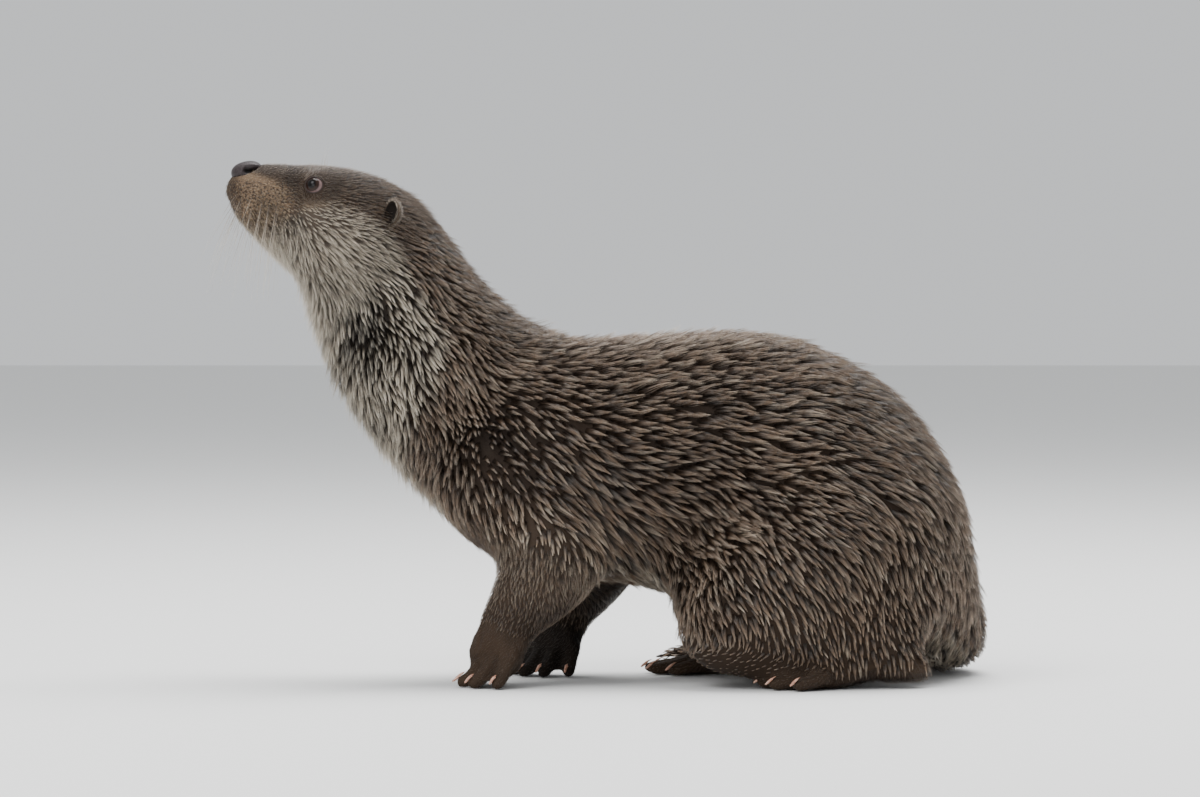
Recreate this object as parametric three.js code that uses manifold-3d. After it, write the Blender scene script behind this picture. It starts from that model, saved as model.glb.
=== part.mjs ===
// A river otter, the Eurasian kind, as a life-size still model: an adult female that crouches on
// her hind legs, props herself on her forepaws and stretches her neck to look up. The solids are
// the outer shape of her wet coat, in millimetres.
// Frame: -X runs towards the nose, +Y towards her right side, +Z is up, the floor is z = 0, and
// the origin is at the middle of the bounding box's bottom. The body is worked out as one smooth
// flesh, then parted with thin cuts.
import * as THREE from "three";
import { mergeVertices } from "three/addons/utils/BufferGeometryUtils.js";
import Module from "manifold-3d";

const wasm = await Module();
wasm.setup();

// -------------------------------------------------------------------------------------------------
// Driving dimensions
// -------------------------------------------------------------------------------------------------
const PART_GAP = 0.3; // between one named part and the next
const EYE_RADIUS = 6.6;
const EYE_AT = { x: -199.7, z: 326.3 };
const EYE_SINK = 4.2; // how deep the eyeball's centre lies
const EAR_AT = { x: -151, z: 307.5 };
const EAR_SIZE = { thick: 3.6, wide: 8, long: 10.5 }; // half-sizes
const NOSE_AT = [-246, 0, 336.6];
const NOSE_SIZE = [10.6, 10.6, 6.4]; // half-sizes
const NOSE_TILT = -14; // its front is the lower end, in degrees
const CLAW_RADIUS = 1.7;
const FLAT_DEPTH = 0.9; // how far soles are pressed flat against the floor

// How finely each part's surface is faceted: the size of its facets.
const HEAD_STEP = 12.2;
const NECK_STEP = 19;
const TRUNK_STEP = 25;
const TAIL_STEP = 20;
const FORELEG_STEP = 14;
const HIND_LEG_STEP = 24;
const PAW_STEP = 13;

// Head, neck and trunk in the side view: x, z, half-depth across the line of the spine, half-width.
const SPINE = [
  [-243, 323, 17, 15],
  [-232, 318.6, 23.3, 24],
  [-217.3, 311.2, 29.8, 28],
  [-198.7, 304.3, 36.9, 35],
  [-180.3, 293.8, 43.8, 42],
  [-163.5, 280.7, 48.5, 46],
  [-150.5, 250.5, 54.5, 47.5],
  [-131, 219, 60, 49],
  [-104, 189, 63.5, 54],
  [-68, 162, 71, 61],
  [-35, 150, 77, 67],
  [5, 147, 80.5, 71],
  [45, 144, 86, 73],
  [85, 139, 92, 77],
  [120, 128, 87, 79],
  [149, 112, 75, 74],
  [174, 89, 59, 64],
  [191, 66, 44, 48],
];
const FULLNESS = 2.3; // 2 makes the sections ellipses, more makes them squarer

// Rounded masses laid on each side of the spine: centre, half-sizes, pitch in degrees, and how
// softly each runs into the rest. The nose end of a pitched mass is its lower end.
const HEAD_MASSES = [
  { at: [-240.5, 13, 314.5], size: [14, 12, 12.5], pitch: 20, soft: 8 }, // whisker pad
  { at: [-250.5, 6, 325], size: [10, 9, 8.5], pitch: 0, soft: 6 }, // upper lip
  { at: [-233.5, 0, 303.5], size: [9, 10, 7], pitch: 45, soft: 7 }, // chin
  { at: [-180, 28, 280], size: [26, 17, 22], pitch: 35, soft: 16 }, // cheek
  { at: [-196, 19, 331], size: [12, 7, 5], pitch: 5, soft: 6 }, // brow
];
const LEFT_HAUNCH = { at: [150, -48, 66], size: [62, 40, 48], pitch: 0, soft: 20 };
const RIGHT_HAUNCH = { at: [136, 48, 66], size: [62, 40, 48], pitch: 0, soft: 20 };
const EYE_HOLLOW = { ahead: 12, aside: 29, below: 4, size: [10, 4.5, 8], pitch: 10, soft: 8 };
const ARM_SOFT = 20;
const THIGH_SOFT = 26;
const SHANK_SOFT = 14;
const TAIL_SOFT = 18;

// Limbs: x, y, z, radius. The left side is -Y.
const LEFT_ARM = [
  [-72, -37, 130, 43],
  [-42, -52, 96, 34],
  [-48, -56, 74, 30],
  [-64, -56, 54, 23],
  [-76, -55, 38, 18],
  [-86, -56, 22, 14],
];
const RIGHT_ARM = [
  [-66, 37, 130, 43],
  [-22, 52, 94, 33],
  [-19, 55, 72, 28],
  [-30, 53, 52, 21],
  [-40, 52, 38, 18],
  [-49, 50, 22, 14],
];
const LEFT_THIGH = [
  [152, -34, 104, 54],
  [112, -54, 76, 52],
  [76, -62, 46, 42],
];
const RIGHT_THIGH = [
  [140, 34, 104, 54],
  [98, 54, 78, 52],
  [70, 60, 50, 37],
];
const LEFT_SHANK = [
  [78, -64, 42, 34],
  [135, -68, 32, 25],
  [189, -64, 17.5, 17],
];
const RIGHT_SHANK = [
  [70, 63, 42, 30],
  [96, 66, 32, 25],
  [124, 64, 17.5, 17],
];
const TAIL = [
  [180, 4, 64, 43],
  [203, 24, 47, 37],
  [218, 58, 29, 30],
  [218, 98, 24, 25.5],
  [203, 138, 20.5, 22],
  [175, 169, 18, 19.3],
  [140, 188, 15.4, 16.5],
  [104, 196, 12.7, 13.6],
  [72, 193, 10, 10.7],
  [46, 183, 7.3, 7.8],
  [26, 168, 4.7, 5],
];

// -------------------------------------------------------------------------------------------------
// Flesh as fields: each takes x, y, z and gives a distance-like number, under 0 inside
// -------------------------------------------------------------------------------------------------
const lerp = THREE.MathUtils.lerp;
const rad = THREE.MathUtils.degToRad;

// An ellipsoid. Its pitch tips its nose end down in the side view, in degrees.
function lump([cx, cy, cz], [a, b, c], pitch = 0) {
  const [sin, cos] = [Math.sin(rad(pitch)), Math.cos(rad(pitch))];
  return (x, y, z) => {
    const [dx, dy, dz] = [x - cx, y - cy, z - cz];
    const u = dx * cos + dz * sin;
    const w = dz * cos - dx * sin;
    const size = Math.hypot(u / a, dy / b, w / c);
    const slope = Math.hypot(u / (a * a), dy / (b * b), w / (c * c));
    return slope ? (size * (size - 1)) / slope : -Math.min(a, b, c);
  };
}

// A chain of cones with round ends through stations of x, y, z, radius.
function limb(stations) {
  return (x, y, z) => {
    let nearest = Infinity;
    for (let i = 1; i < stations.length; i++) {
      const [ax, ay, az, ar] = stations[i - 1];
      const [bx, by, bz, br] = stations[i];
      const [ex, ey, ez] = [bx - ax, by - ay, bz - az];
      const along = (x - ax) * ex + (y - ay) * ey + (z - az) * ez;
      const t = THREE.MathUtils.clamp(along / (ex * ex + ey * ey + ez * ez), 0, 1);
      const off = Math.hypot(x - ax - t * ex, y - ay - t * ey, z - az - t * ez);
      nearest = Math.min(nearest, off - lerp(ar, br, t));
    }
    return nearest;
  };
}

// Stations passed through a smooth curve, `each` steps between one and the next.
function smoothed(stations, each) {
  const width = stations[0].length;
  const curves = [];
  for (let first = 0; first < width; first += 3) {
    const column = (s, k) => s[first + k] ?? 0;
    const points = stations.map((s) => new THREE.Vector3(column(s, 0), column(s, 1), column(s, 2)));
    curves.push(new THREE.CatmullRomCurve3(points, false, "catmullrom", 0.5));
  }
  const count = (stations.length - 1) * each;
  return Array.from({ length: count + 1 }, (_, i) =>
    curves.flatMap((curve) => curve.getPoint(i / count).toArray()).slice(0, width),
  );
}

// The trunk line: a chain of near-elliptic sections along a curve in the plane y = 0. Inside its
// core the field is level.
const CORE = 0.2;
function backbone(stations) {
  const fine = smoothed(stations, 4);
  return (x, y, z) => {
    let nearest = Infinity;
    for (let i = 1; i < fine.length; i++) {
      const [ax, az, ad, aw] = fine[i - 1];
      const [bx, bz, bd, bw] = fine[i];
      const [ex, ez] = [bx - ax, bz - az];
      const t = THREE.MathUtils.clamp(((x - ax) * ex + (z - az) * ez) / (ex * ex + ez * ez), 0, 1);
      const off = Math.hypot(x - ax - t * ex, z - az - t * ez);
      const [d, w] = [lerp(ad, bd, t), lerp(aw, bw, t)];
      const size = ((off / d) ** FULLNESS + Math.abs(y / w) ** FULLNESS) ** (1 / FULLNESS);
      const power = FULLNESS - 1;
      const slope = Math.hypot((off / d) ** power / d, Math.abs(y / w) ** power / w);
      const value = ((size - 1) * size ** power) / slope;
      nearest = Math.min(nearest, size < CORE ? (CORE - 1) * Math.min(d, w) : value);
    }
    return nearest;
  };
}

// Joins b to a with a fillet about `soft` wide.
function blend(a, b, soft) {
  return (x, y, z) => {
    const [p, q] = [a(x, y, z), b(x, y, z)];
    const h = Math.max(soft - Math.abs(p - q), 0) / soft;
    return Math.min(p, q) - (h * h * soft) / 4;
  };
}

// Presses b into a, with an edge about `soft` wide.
function dent(a, b, soft) {
  return (x, y, z) => {
    const [p, q] = [a(x, y, z), -b(x, y, z)];
    const h = Math.max(soft - Math.abs(p - q), 0) / soft;
    return Math.max(p, q) + (h * h * soft) / 4;
  };
}

const mirrored = ({ at: [x, y, z], ...rest }) => ({ at: [x, -y, z], ...rest });

function wholeBody() {
  let body = backbone(SPINE);
  const masses = [...HEAD_MASSES, ...HEAD_MASSES.map(mirrored), LEFT_HAUNCH, RIGHT_HAUNCH];
  for (const { at, size, pitch, soft } of masses) body = blend(body, lump(at, size, pitch), soft);
  const limbs = [
    [LEFT_ARM, ARM_SOFT],
    [RIGHT_ARM, ARM_SOFT],
    [LEFT_THIGH, THIGH_SOFT],
    [RIGHT_THIGH, THIGH_SOFT],
    [LEFT_SHANK, SHANK_SOFT],
    [RIGHT_SHANK, SHANK_SOFT],
    [TAIL, TAIL_SOFT],
  ];
  for (const [stations, soft] of limbs) body = blend(body, limb(smoothed(stations, 3)), soft);
  const { ahead, aside, below, size, pitch, soft } = EYE_HOLLOW;
  for (const side of [-1, 1]) {
    const at = [EYE_AT.x - ahead, aside * side, EYE_AT.z - below];
    body = dent(body, lump(at, size, pitch), soft);
  }
  return body;
}
const flesh = wholeBody();

// -------------------------------------------------------------------------------------------------
// From fields and curves to closed meshes
// -------------------------------------------------------------------------------------------------
// Wraps the surface of a field inside a box in quads about `step` across, one point to each grid
// cell that it passes through. Where the flesh runs on past the box, the mesh is closed there.
function wrap(field, [low, high], step) {
  const n = low.map((v, k) => Math.ceil((high[k] - v) / step) + 1);
  const value = new Float32Array(n[0] * n[1] * n[2]);
  const at = (i, j, k) => i + n[0] * (j + n[1] * k);
  const rim = (i, size) => i === 0 || i === size - 1;
  for (let k = 0; k < n[2]; k++)
    for (let j = 0; j < n[1]; j++)
      for (let i = 0; i < n[0]; i++) {
        const v = field(low[0] + i * step, low[1] + j * step, low[2] + k * step);
        const outside = rim(i, n[0]) || rim(j, n[1]) || rim(k, n[2]);
        value[at(i, j, k)] = outside ? Math.max(v, step / 2) : v;
      }
  const corners = [0, 1, 2, 3, 4, 5, 6, 7].map((c) => [c & 1, (c >> 1) & 1, c >> 2]);
  const edges = corners.flatMap((a, i) =>
    [1, 2, 4].filter((bit) => !(i & bit)).map((bit) => [a, corners[i | bit]]),
  );
  const points = [];
  const pointOf = new Map();
  for (let k = 0; k < n[2] - 1; k++)
    for (let j = 0; j < n[1] - 1; j++)
      for (let i = 0; i < n[0] - 1; i++) {
        const sum = new THREE.Vector3();
        let crossings = 0;
        for (const [a, b] of edges) {
          const va = value[at(i + a[0], j + a[1], k + a[2])];
          const vb = value[at(i + b[0], j + b[1], k + b[2])];
          if (va < 0 === vb < 0) continue;
          const t = va / (va - vb);
          sum.x += i + lerp(a[0], b[0], t);
          sum.y += j + lerp(a[1], b[1], t);
          sum.z += k + lerp(a[2], b[2], t);
          crossings++;
        }
        if (!crossings) continue;
        const p = sum.divideScalar(crossings).multiplyScalar(step);
        p.add(new THREE.Vector3(...low));
        const inner = [i, j, k].every((c, axis) => c > 0 && c < n[axis] - 2);
        pointOf.set(at(i, j, k), points.length);
        points.push(inner ? settle(field, p) : p);
      }
  const triangles = [];
  const strides = [1, n[0], n[0] * n[1]];
  for (let k = 0; k < n[2] - 1; k++)
    for (let j = 0; j < n[1] - 1; j++)
      for (let i = 0; i < n[0] - 1; i++) {
        const here = at(i, j, k);
        for (let axis = 0; axis < 3; axis++) {
          const inside = value[here] < 0;
          if (inside === value[here + strides[axis]] < 0) continue;
          const [u, v] = [strides[(axis + 1) % 3], strides[(axis + 2) % 3]];
          const quad = [here - u - v, here - v, here, here - u].map((c) => pointOf.get(c));
          if (!inside) quad.reverse();
          triangles.push(...halves(quad, points));
        }
      }
  return indexed(points, triangles);
}

// A quad as two triangles, cut across its shorter diagonal.
function halves([a, b, c, d], points) {
  const across = points[a].distanceTo(points[c]) <= points[b].distanceTo(points[d]);
  return across ? [a, b, c, a, c, d] : [a, b, d, b, c, d];
}

// Moves a point onto the field's surface along its slope.
function settle(field, p) {
  const e = 0.05;
  for (let round = 0; round < 3; round++) {
    const here = field(p.x, p.y, p.z);
    const slope = new THREE.Vector3(
      field(p.x + e, p.y, p.z) - here,
      field(p.x, p.y + e, p.z) - here,
      field(p.x, p.y, p.z + e) - here,
    ).divideScalar(e);
    p.addScaledVector(slope, (-0.8 * here) / Math.max(slope.lengthSq(), 0.2));
  }
  return p;
}

function indexed(points, triangles) {
  const flat = points.flatMap((p) => p.toArray());
  return new THREE.BufferGeometry()
    .setAttribute("position", new THREE.Float32BufferAttribute(flat, 3))
    .setIndex(triangles);
}

// A round tube through stations of x, y, z, radius. It starts in a disc, and ends in a dome, or
// in a disc if not round.
function tube(line, sides, round = true) {
  const centre = line.map(([x, y, z]) => new THREE.Vector3(x, y, z));
  const path = new THREE.CatmullRomCurve3(centre);
  const rings = line.map(([, , , r], i) => ({ t: i / (line.length - 1), r, slide: 0 }));
  if (round) {
    const last = rings[rings.length - 1];
    rings.push({ t: 1, r: last.r * 0.62, slide: last.r * 0.72 });
  }
  const points = [];
  for (const { t, r, slide } of rings) {
    const middle = path.getPoint(t);
    const ahead = path.getTangent(t);
    const side = new THREE.Vector3(0, 0, 1).cross(ahead);
    if (side.length() < 0.1) side.set(0, 1, 0);
    side.normalize();
    const up = ahead.clone().cross(side);
    middle.addScaledVector(ahead, slide);
    for (let s = 0; s < sides; s++) {
      const angle = (s / sides) * 2 * Math.PI;
      const across = side.clone().multiplyScalar(r * Math.cos(angle));
      points.push(middle.clone().add(across).addScaledVector(up, r * Math.sin(angle)));
    }
  }
  const triangles = [];
  for (let ring = 1; ring < rings.length; ring++)
    for (let s = 0; s < sides; s++) {
      const [a, b] = [(ring - 1) * sides + s, (ring - 1) * sides + ((s + 1) % sides)];
      triangles.push(a, b, b + sides, a, b + sides, a + sides);
    }
  for (const [ring, way] of [
    [0, -1],
    [rings.length - 1, 1],
  ]) {
    const tip = path.getPoint(rings[ring].t);
    if (round && ring) tip.addScaledVector(path.getTangent(1), rings[ring].r * 1.6);
    points.push(tip);
    for (let s = 0; s < sides; s++) {
      const [a, b] = [ring * sides + s, ring * sides + ((s + 1) % sides)];
      triangles.push(...(way > 0 ? [a, b, points.length - 1] : [b, a, points.length - 1]));
    }
  }
  return indexed(points, triangles);
}

// A closed mesh as a manifold-3d solid.
function solid(geometry) {
  const bare = geometry.clone();
  bare.deleteAttribute("normal");
  bare.deleteAttribute("uv");
  const merged = mergeVertices(bare, 1e-4);
  const made = new wasm.Mesh({
    numProp: 3,
    vertProperties: new Float32Array(merged.attributes.position.array),
    triVerts: new Uint32Array(merged.index.array),
  });
  return new wasm.Manifold(made);
}

// Everything on the near side of the plane through `at`: the side that `facing` points away from.
const FAR = 700;
function behindPlane(at, facing) {
  const normal = new THREE.Vector3(...facing).normalize();
  const turn = new THREE.Quaternion().setFromUnitVectors(new THREE.Vector3(0, 0, 1), normal);
  const block = new THREE.BoxGeometry(2 * FAR, 2 * FAR, 2 * FAR).translate(0, 0, -FAR);
  return solid(block.applyQuaternion(turn).translate(...at));
}

// A region bounded by planes, each a point and the way it faces, grown outwards by `grow`.
function region(planes, grow = 0) {
  return planes
    .map(([at, facing]) => {
      const normal = new THREE.Vector3(...facing).normalize();
      return behindPlane(at.map((v, k) => v + normal.getComponent(k) * grow), facing);
    })
    .reduce((all, one) => all.intersect(one));
}
const opposite = ([at, facing]) => [at, facing.map((v) => -v)];

// -------------------------------------------------------------------------------------------------
// Where the body is parted
// -------------------------------------------------------------------------------------------------
const FLOOR = [[0, 0, 0], [0, 0, -1]];
const HEAD_CUT = [[-163, 0, 262], [0.74, 0, -0.67]]; // behind the ears and the jaw
const NECK_CUT = [[-92, 0, 178], [0.8, 0, -0.6]]; // in front of the shoulders

const armCuts = (s, x) => [
  [[x, 0, 98], [0.35, 0, 1]],
  [[0, 14 * s, 0], [0, -s, 0]],
  [[-140, 0, 0], [-1, 0, 0]],
  [[x + 58, 0, 80], [1, 0, -0.15]],
];
const legCuts = (s, x, heel) => [
  [[x + 70, 48 * s, 118], [-0.1, -0.45 * s, 0.9]],
  [[0, 24 * s, 0], [0, -s, 0]],
  [[x - 34, 0, 60], [-1, 0, 0.15]],
  [[heel, 0, 30], [1, 0, -0.2]],
];
const LIMBS = {
  left_foreleg: armCuts(-1, -60),
  right_foreleg: armCuts(1, -40),
  left_hind_leg: legCuts(-1, 60, 210),
  right_hind_leg: legCuts(1, 46, 162),
};
const TAIL_CUT = [
  [[214, 50, 38], [-0.42, -0.9, 0.1]],
  [[176, 0, 0], [-1, 0, 0]],
  [[0, 0, 76], [0, 0, 1]],
];

// -------------------------------------------------------------------------------------------------
// Paws
// -------------------------------------------------------------------------------------------------
// A paw is laid out pointing towards -X with its knuckles over the origin, then turned by
// `heading` towards +Y and set down at `at`. Toes run from the first, on the inner side, to the
// fifth.
const FORE_TOES = {
  splay: [34, 15, 1, -14, -32], // degrees
  reach: [15, 22, 25, 23, 17],
  spread: 8.8, // between one knuckle and the next
  arch: 1.4,
  heights: [23, 15.5, 5.8, 4.7],
  radii: [6.2, 5.9, 5.6, 5.1],
};
const HIND_TOES = {
  splay: [28, 13, 0, -12, -25],
  reach: [21, 29, 32, 30, 24],
  spread: 9.8,
  arch: 1.8,
  heights: [10, 7.5, 5.4, 4.8],
  radii: [6.2, 5.7, 5.4, 4.9],
};
const SHARES = [0, 0.42, 0.84, 1]; // of a toe's reach, for its four stations
const CLAW_LINE = [[1.6, 7], [4.8, 7], [7.6, 4.2]]; // ahead of the toe's last station, and height

const WRIST_CUT = [[0, 0, 41], [0.5, 0, 1]];
const SOLE_CUT = [[0, 0, 10], [-0.13, 0, 1]];
const foreBall = blend(lump([5, 0, 23], [13, 25, 12], -55), lump([0, 0, 11], [10, 19, 7.5]), 8);
const hindBall = blend(lump([12, 0, 9], [26, 25, 9]), lump([-12, 0, 4], [20, 27, 4.6]), 6);
const FOREPAW = { toes: FORE_TOES, ball: foreBall, cut: WRIST_CUT, back: 30 };
const HIND_FOOT = { toes: HIND_TOES, ball: hindBall, cut: SOLE_CUT };
const PAWS = {
  left_forepaw: { ...FOREPAW, at: [-79, -56], side: -1, heading: -16 },
  right_forepaw: { ...FOREPAW, at: [-45, 46], side: 1, heading: -38 },
  left_hind_foot: { ...HIND_FOOT, at: [124, -70], side: -1, heading: -9, back: 90 },
  right_hind_foot: { ...HIND_FOOT, at: [52, 66], side: 1, heading: 9, back: 100 },
};
const PAW_AHEAD = 40; // how far a paw's own region runs forward of its knuckles
const PAW_ASIDE = 34;
const LIMB_OF = {
  left_forepaw: "left_foreleg",
  right_forepaw: "right_foreleg",
  left_hind_foot: "left_hind_leg",
  right_hind_foot: "right_hind_leg",
};

// Places a point of the paw's own layout in the body's frame.
function placed({ at, heading }, [x, y, z]) {
  const [sin, cos] = [Math.sin(rad(-heading)), Math.cos(rad(-heading))];
  return [at[0] + x * cos - y * sin, at[1] + x * sin + y * cos, z];
}

function toeLines(paw) {
  const { splay, reach, spread, arch, heights, radii } = paw.toes;
  return reach.map((length, i) => {
    const turn = rad(splay[i] * paw.side);
    const [ahead, aside] = [-Math.cos(turn), -Math.sin(turn)];
    const root = [arch * (i - 2) ** 2, paw.side * spread * (i - 2)];
    const on = (far, z) => placed(paw, [root[0] + ahead * far, root[1] + aside * far, z]);
    return {
      toe: SHARES.map((share, k) => [...on(length * share, heights[k]), radii[k]]),
      claw: CLAW_LINE.map(([far, z], k) => [...on(length + far, z), CLAW_RADIUS * (1 - 0.25 * k)]),
    };
  });
}
const grown = (stations, extra) => stations.map(([x, y, z, r]) => [x, y, z, r + extra]);

// -------------------------------------------------------------------------------------------------
// Assembly
// -------------------------------------------------------------------------------------------------
const coat = (color) => new THREE.MeshStandardMaterial({ color, roughness: 0.7, metalness: 0 });
const FINISH = {
  coat: coat(0x4d4038),
  throat: coat(0x857c6e),
  paw: coat(0x352b26),
  nose: new THREE.MeshStandardMaterial({ color: 0x2a2526, roughness: 0.45, metalness: 0 }),
  eye: new THREE.MeshStandardMaterial({ color: 0x120c0a, roughness: 0.05, metalness: 0 }),
  claw: new THREE.MeshStandardMaterial({ color: 0xb98874, roughness: 0.4, metalness: 0 }),
};
const otter = new THREE.Group();
otter.name = "river_otter";

function add(name, made, material) {
  const { numProp, vertProperties, triVerts } = made.getMesh();
  const points = [];
  for (let i = 0; i < vertProperties.length; i += numProp)
    points.push(new THREE.Vector3(...vertProperties.subarray(i, i + 3)));
  const mesh = new THREE.Mesh(indexed(points, [...triVerts]), material);
  mesh.geometry.computeVertexNormals();
  mesh.name = name;
  otter.add(mesh);
}
const onFloor = region([FLOOR]);

// Where the coat's surface lies over x, z on one side.
function surfaceAt(x, z, side) {
  let [inner, outer] = [0, 120];
  for (let i = 0; i < 40; i++) {
    const middle = (inner + outer) / 2;
    if (flesh(x, side * middle, z) < 0) inner = middle;
    else outer = middle;
  }
  return side * inner;
}

// Eyes and ears are set into pockets of the head.
const FACE = { left: -1, right: 1 };
function eyeball(side, extra) {
  const y = surfaceAt(EYE_AT.x, EYE_AT.z, side) - side * EYE_SINK;
  return solid(new THREE.SphereGeometry(EYE_RADIUS + extra, 10, 7).translate(EYE_AT.x, y, EYE_AT.z));
}
function earFlap(side, extra) {
  const y = surfaceAt(EAR_AT.x, EAR_AT.z, side);
  const { thick, wide, long } = EAR_SIZE;
  const turned = (shape) =>
    shape.rotateX(rad(side * -30)).rotateZ(rad(side * -52)).rotateY(rad(-26));
  const place = (shape) => solid(turned(shape).translate(EAR_AT.x, y + side * 1.5, EAR_AT.z));
  const flap = place(new THREE.SphereGeometry(1, 10, 6).scale(wide + extra, thick + extra, long + extra));
  if (extra) return flap;
  const cup = new THREE.SphereGeometry(1, 8, 5).scale(wide * 0.62, thick, long * 0.66);
  return flap.subtract(place(cup.translate(-1, side * thick, 0.5)));
}
function noseLeather(extra) {
  const pad = new THREE.SphereGeometry(1, 11, 8).scale(...NOSE_SIZE.map((v) => v + extra));
  return solid(pad.rotateY(rad(NOSE_TILT)).translate(...NOSE_AT));
}

// Head
const HEAD_BOX = [[-278, -62, 195], [-100, 62, 355]];
let head = solid(wrap(flesh, HEAD_BOX, HEAD_STEP)).intersect(region([HEAD_CUT]));
head = head.subtract(noseLeather(PART_GAP));
for (const [name, side] of Object.entries(FACE)) {
  head = head.subtract(eyeball(side, PART_GAP)).subtract(earFlap(side, PART_GAP));
  add(`${name}_eye`, eyeball(side, 0), FINISH.eye);
  add(`${name}_ear`, earFlap(side, 0), FINISH.coat);
}
add("head", head, FINISH.coat);
add("nose", noseLeather(0), FINISH.nose);

// Neck
const NECK_BOX = [[-215, -75, 90], [-20, 75, 320]];
const neckRegion = region([opposite(HEAD_CUT), NECK_CUT], -PART_GAP);
add("neck", solid(wrap(flesh, NECK_BOX, NECK_STEP)).intersect(neckRegion), FINISH.throat);

// Tail in three lengths
const tailLine = smoothed(TAIL, 4);
function tailPlane(place) {
  const [a, b] = [tailLine[place - 1], tailLine[place + 1]];
  return [tailLine[place].slice(0, 3), [b[0] - a[0], b[1] - a[1], 0]];
}
const TAIL_JOINTS = [12, 27]; // places along the tail line
const TAIL_ROOT_BOX = [[160, -20, -12], [262, 125, 110]];
const TAIL_SIDES = 10;
const ringed = tailLine.slice(8).filter((_, i) => i % 2 === 0);
const length = solid(tube(ringed, TAIL_SIDES)).intersect(onFloor);
const [firstJoint, secondJoint] = TAIL_JOINTS.map(tailPlane);
const root = solid(wrap(flesh, TAIL_ROOT_BOX, TAIL_STEP)).intersect(onFloor);
const middleRegion = region([opposite(firstJoint), secondJoint], -PART_GAP);
add("tail_base", root.intersect(region([...TAIL_CUT, firstJoint])), FINISH.coat);
add("tail_middle", length.intersect(middleRegion), FINISH.coat);
add("tail_tip", length.intersect(region([opposite(secondJoint)])), FINISH.coat);

// Paws, then the legs above them
const LIMB_BOXES = {
  fore: [[-125, 0, -10], [40, 105, 150]],
  hind: [[10, 0, -10], [235, 125, 165]],
};
function sideBox([low, high], side) {
  return side > 0 ? [low, high] : [[low[0], -high[1], low[2]], [high[0], -low[1], high[2]]];
}
const TRUNK_BOX = [[-150, -115, -12], [262, 115, 252]];
const TOE_SIDES = 6;
const CLAW_SIDES = 5;
const SOLE = [[0, 0, FLAT_DEPTH], [0, 0, -1]];
const toeSolid = (line, extra = 0) => solid(tube(grown(line, extra), TOE_SIDES));
const clawSolid = (line, extra = 0) => solid(tube(grown(line, extra), CLAW_SIDES, false));

// The ball of a paw, turned and set down in the body's frame.
function placedBall({ at, heading, ball }) {
  const [sin, cos] = [Math.sin(rad(-heading)), Math.cos(rad(-heading))];
  return (x, y, z) => {
    const [dx, dy] = [x - at[0], y - at[1]];
    return ball(dx * cos + dy * sin, dy * cos - dx * sin, z);
  };
}
let trunk = solid(wrap(flesh, TRUNK_BOX, TRUNK_STEP));
for (const [name, paw] of Object.entries(PAWS)) {
  const [px, py] = paw.at;
  const bounds = [
    [[px + paw.cut[0][0], py, paw.cut[0][2]], paw.cut[1]],
    [[px - PAW_AHEAD, 0, 0], [-1, 0, 0]],
    [[px + paw.back, 0, 0], [1, 0, 0]],
    [[0, py - paw.side * PAW_ASIDE, 0], [0, -paw.side, 0]],
  ];
  const box = [[px - 42, py - 38, -8], [px + paw.back + 6, py + 38, 62]];
  const lines = toeLines(paw);
  let made = solid(wrap(blend(flesh, placedBall(paw), 6), box, PAW_STEP));
  made = made.intersect(region(bounds));
  for (const { toe } of lines) made = made.add(toeSolid(toe));
  add(name, made.intersect(region([SOLE])).translate([0, 0, -FLAT_DEPTH]), FINISH.paw);
  lines.forEach(({ toe, claw }, i) => {
    const bare = clawSolid(claw).subtract(toeSolid(toe, PART_GAP));
    add(`${name}_claw_${i + 1}`, bare.translate([0, 0, -FLAT_DEPTH]), FINISH.claw);
  });

  const limbName = LIMB_OF[name];
  const fore = limbName.endsWith("foreleg");
  const limbBox = sideBox(fore ? LIMB_BOXES.fore : LIMB_BOXES.hind, paw.side);
  const pawRegion = region(bounds, PART_GAP);
  let leg = solid(wrap(flesh, limbBox, fore ? FORELEG_STEP : HIND_LEG_STEP));
  leg = leg.intersect(region(LIMBS[limbName])).intersect(onFloor).subtract(pawRegion);
  for (const { toe, claw } of lines) {
    leg = leg.subtract(toeSolid(toe, 2 * PART_GAP));
    leg = leg.subtract(clawSolid(claw, 2 * PART_GAP).translate([0, 0, -FLAT_DEPTH]));
  }
  add(limbName, leg, FINISH.coat);
  trunk = trunk.subtract(pawRegion);
}

// Trunk
trunk = trunk.intersect(region([opposite(NECK_CUT)])).intersect(onFloor);
for (const planes of [TAIL_CUT, ...Object.values(LIMBS)])
  trunk = trunk.subtract(region(planes, PART_GAP));
add("trunk", trunk, FINISH.coat);

// The origin is the middle of the box's bottom.
const box = new THREE.Box3().setFromObject(otter);
const middle = box.getCenter(new THREE.Vector3());
otter.position.set(-middle.x, -middle.y, 0);

export default otter;
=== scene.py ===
import math

import bmesh
import bpy
import numpy as np
from mathutils import Matrix, Vector, noise
from mathutils.bvhtree import BVHTree
from mathutils.kdtree import KDTree


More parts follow.
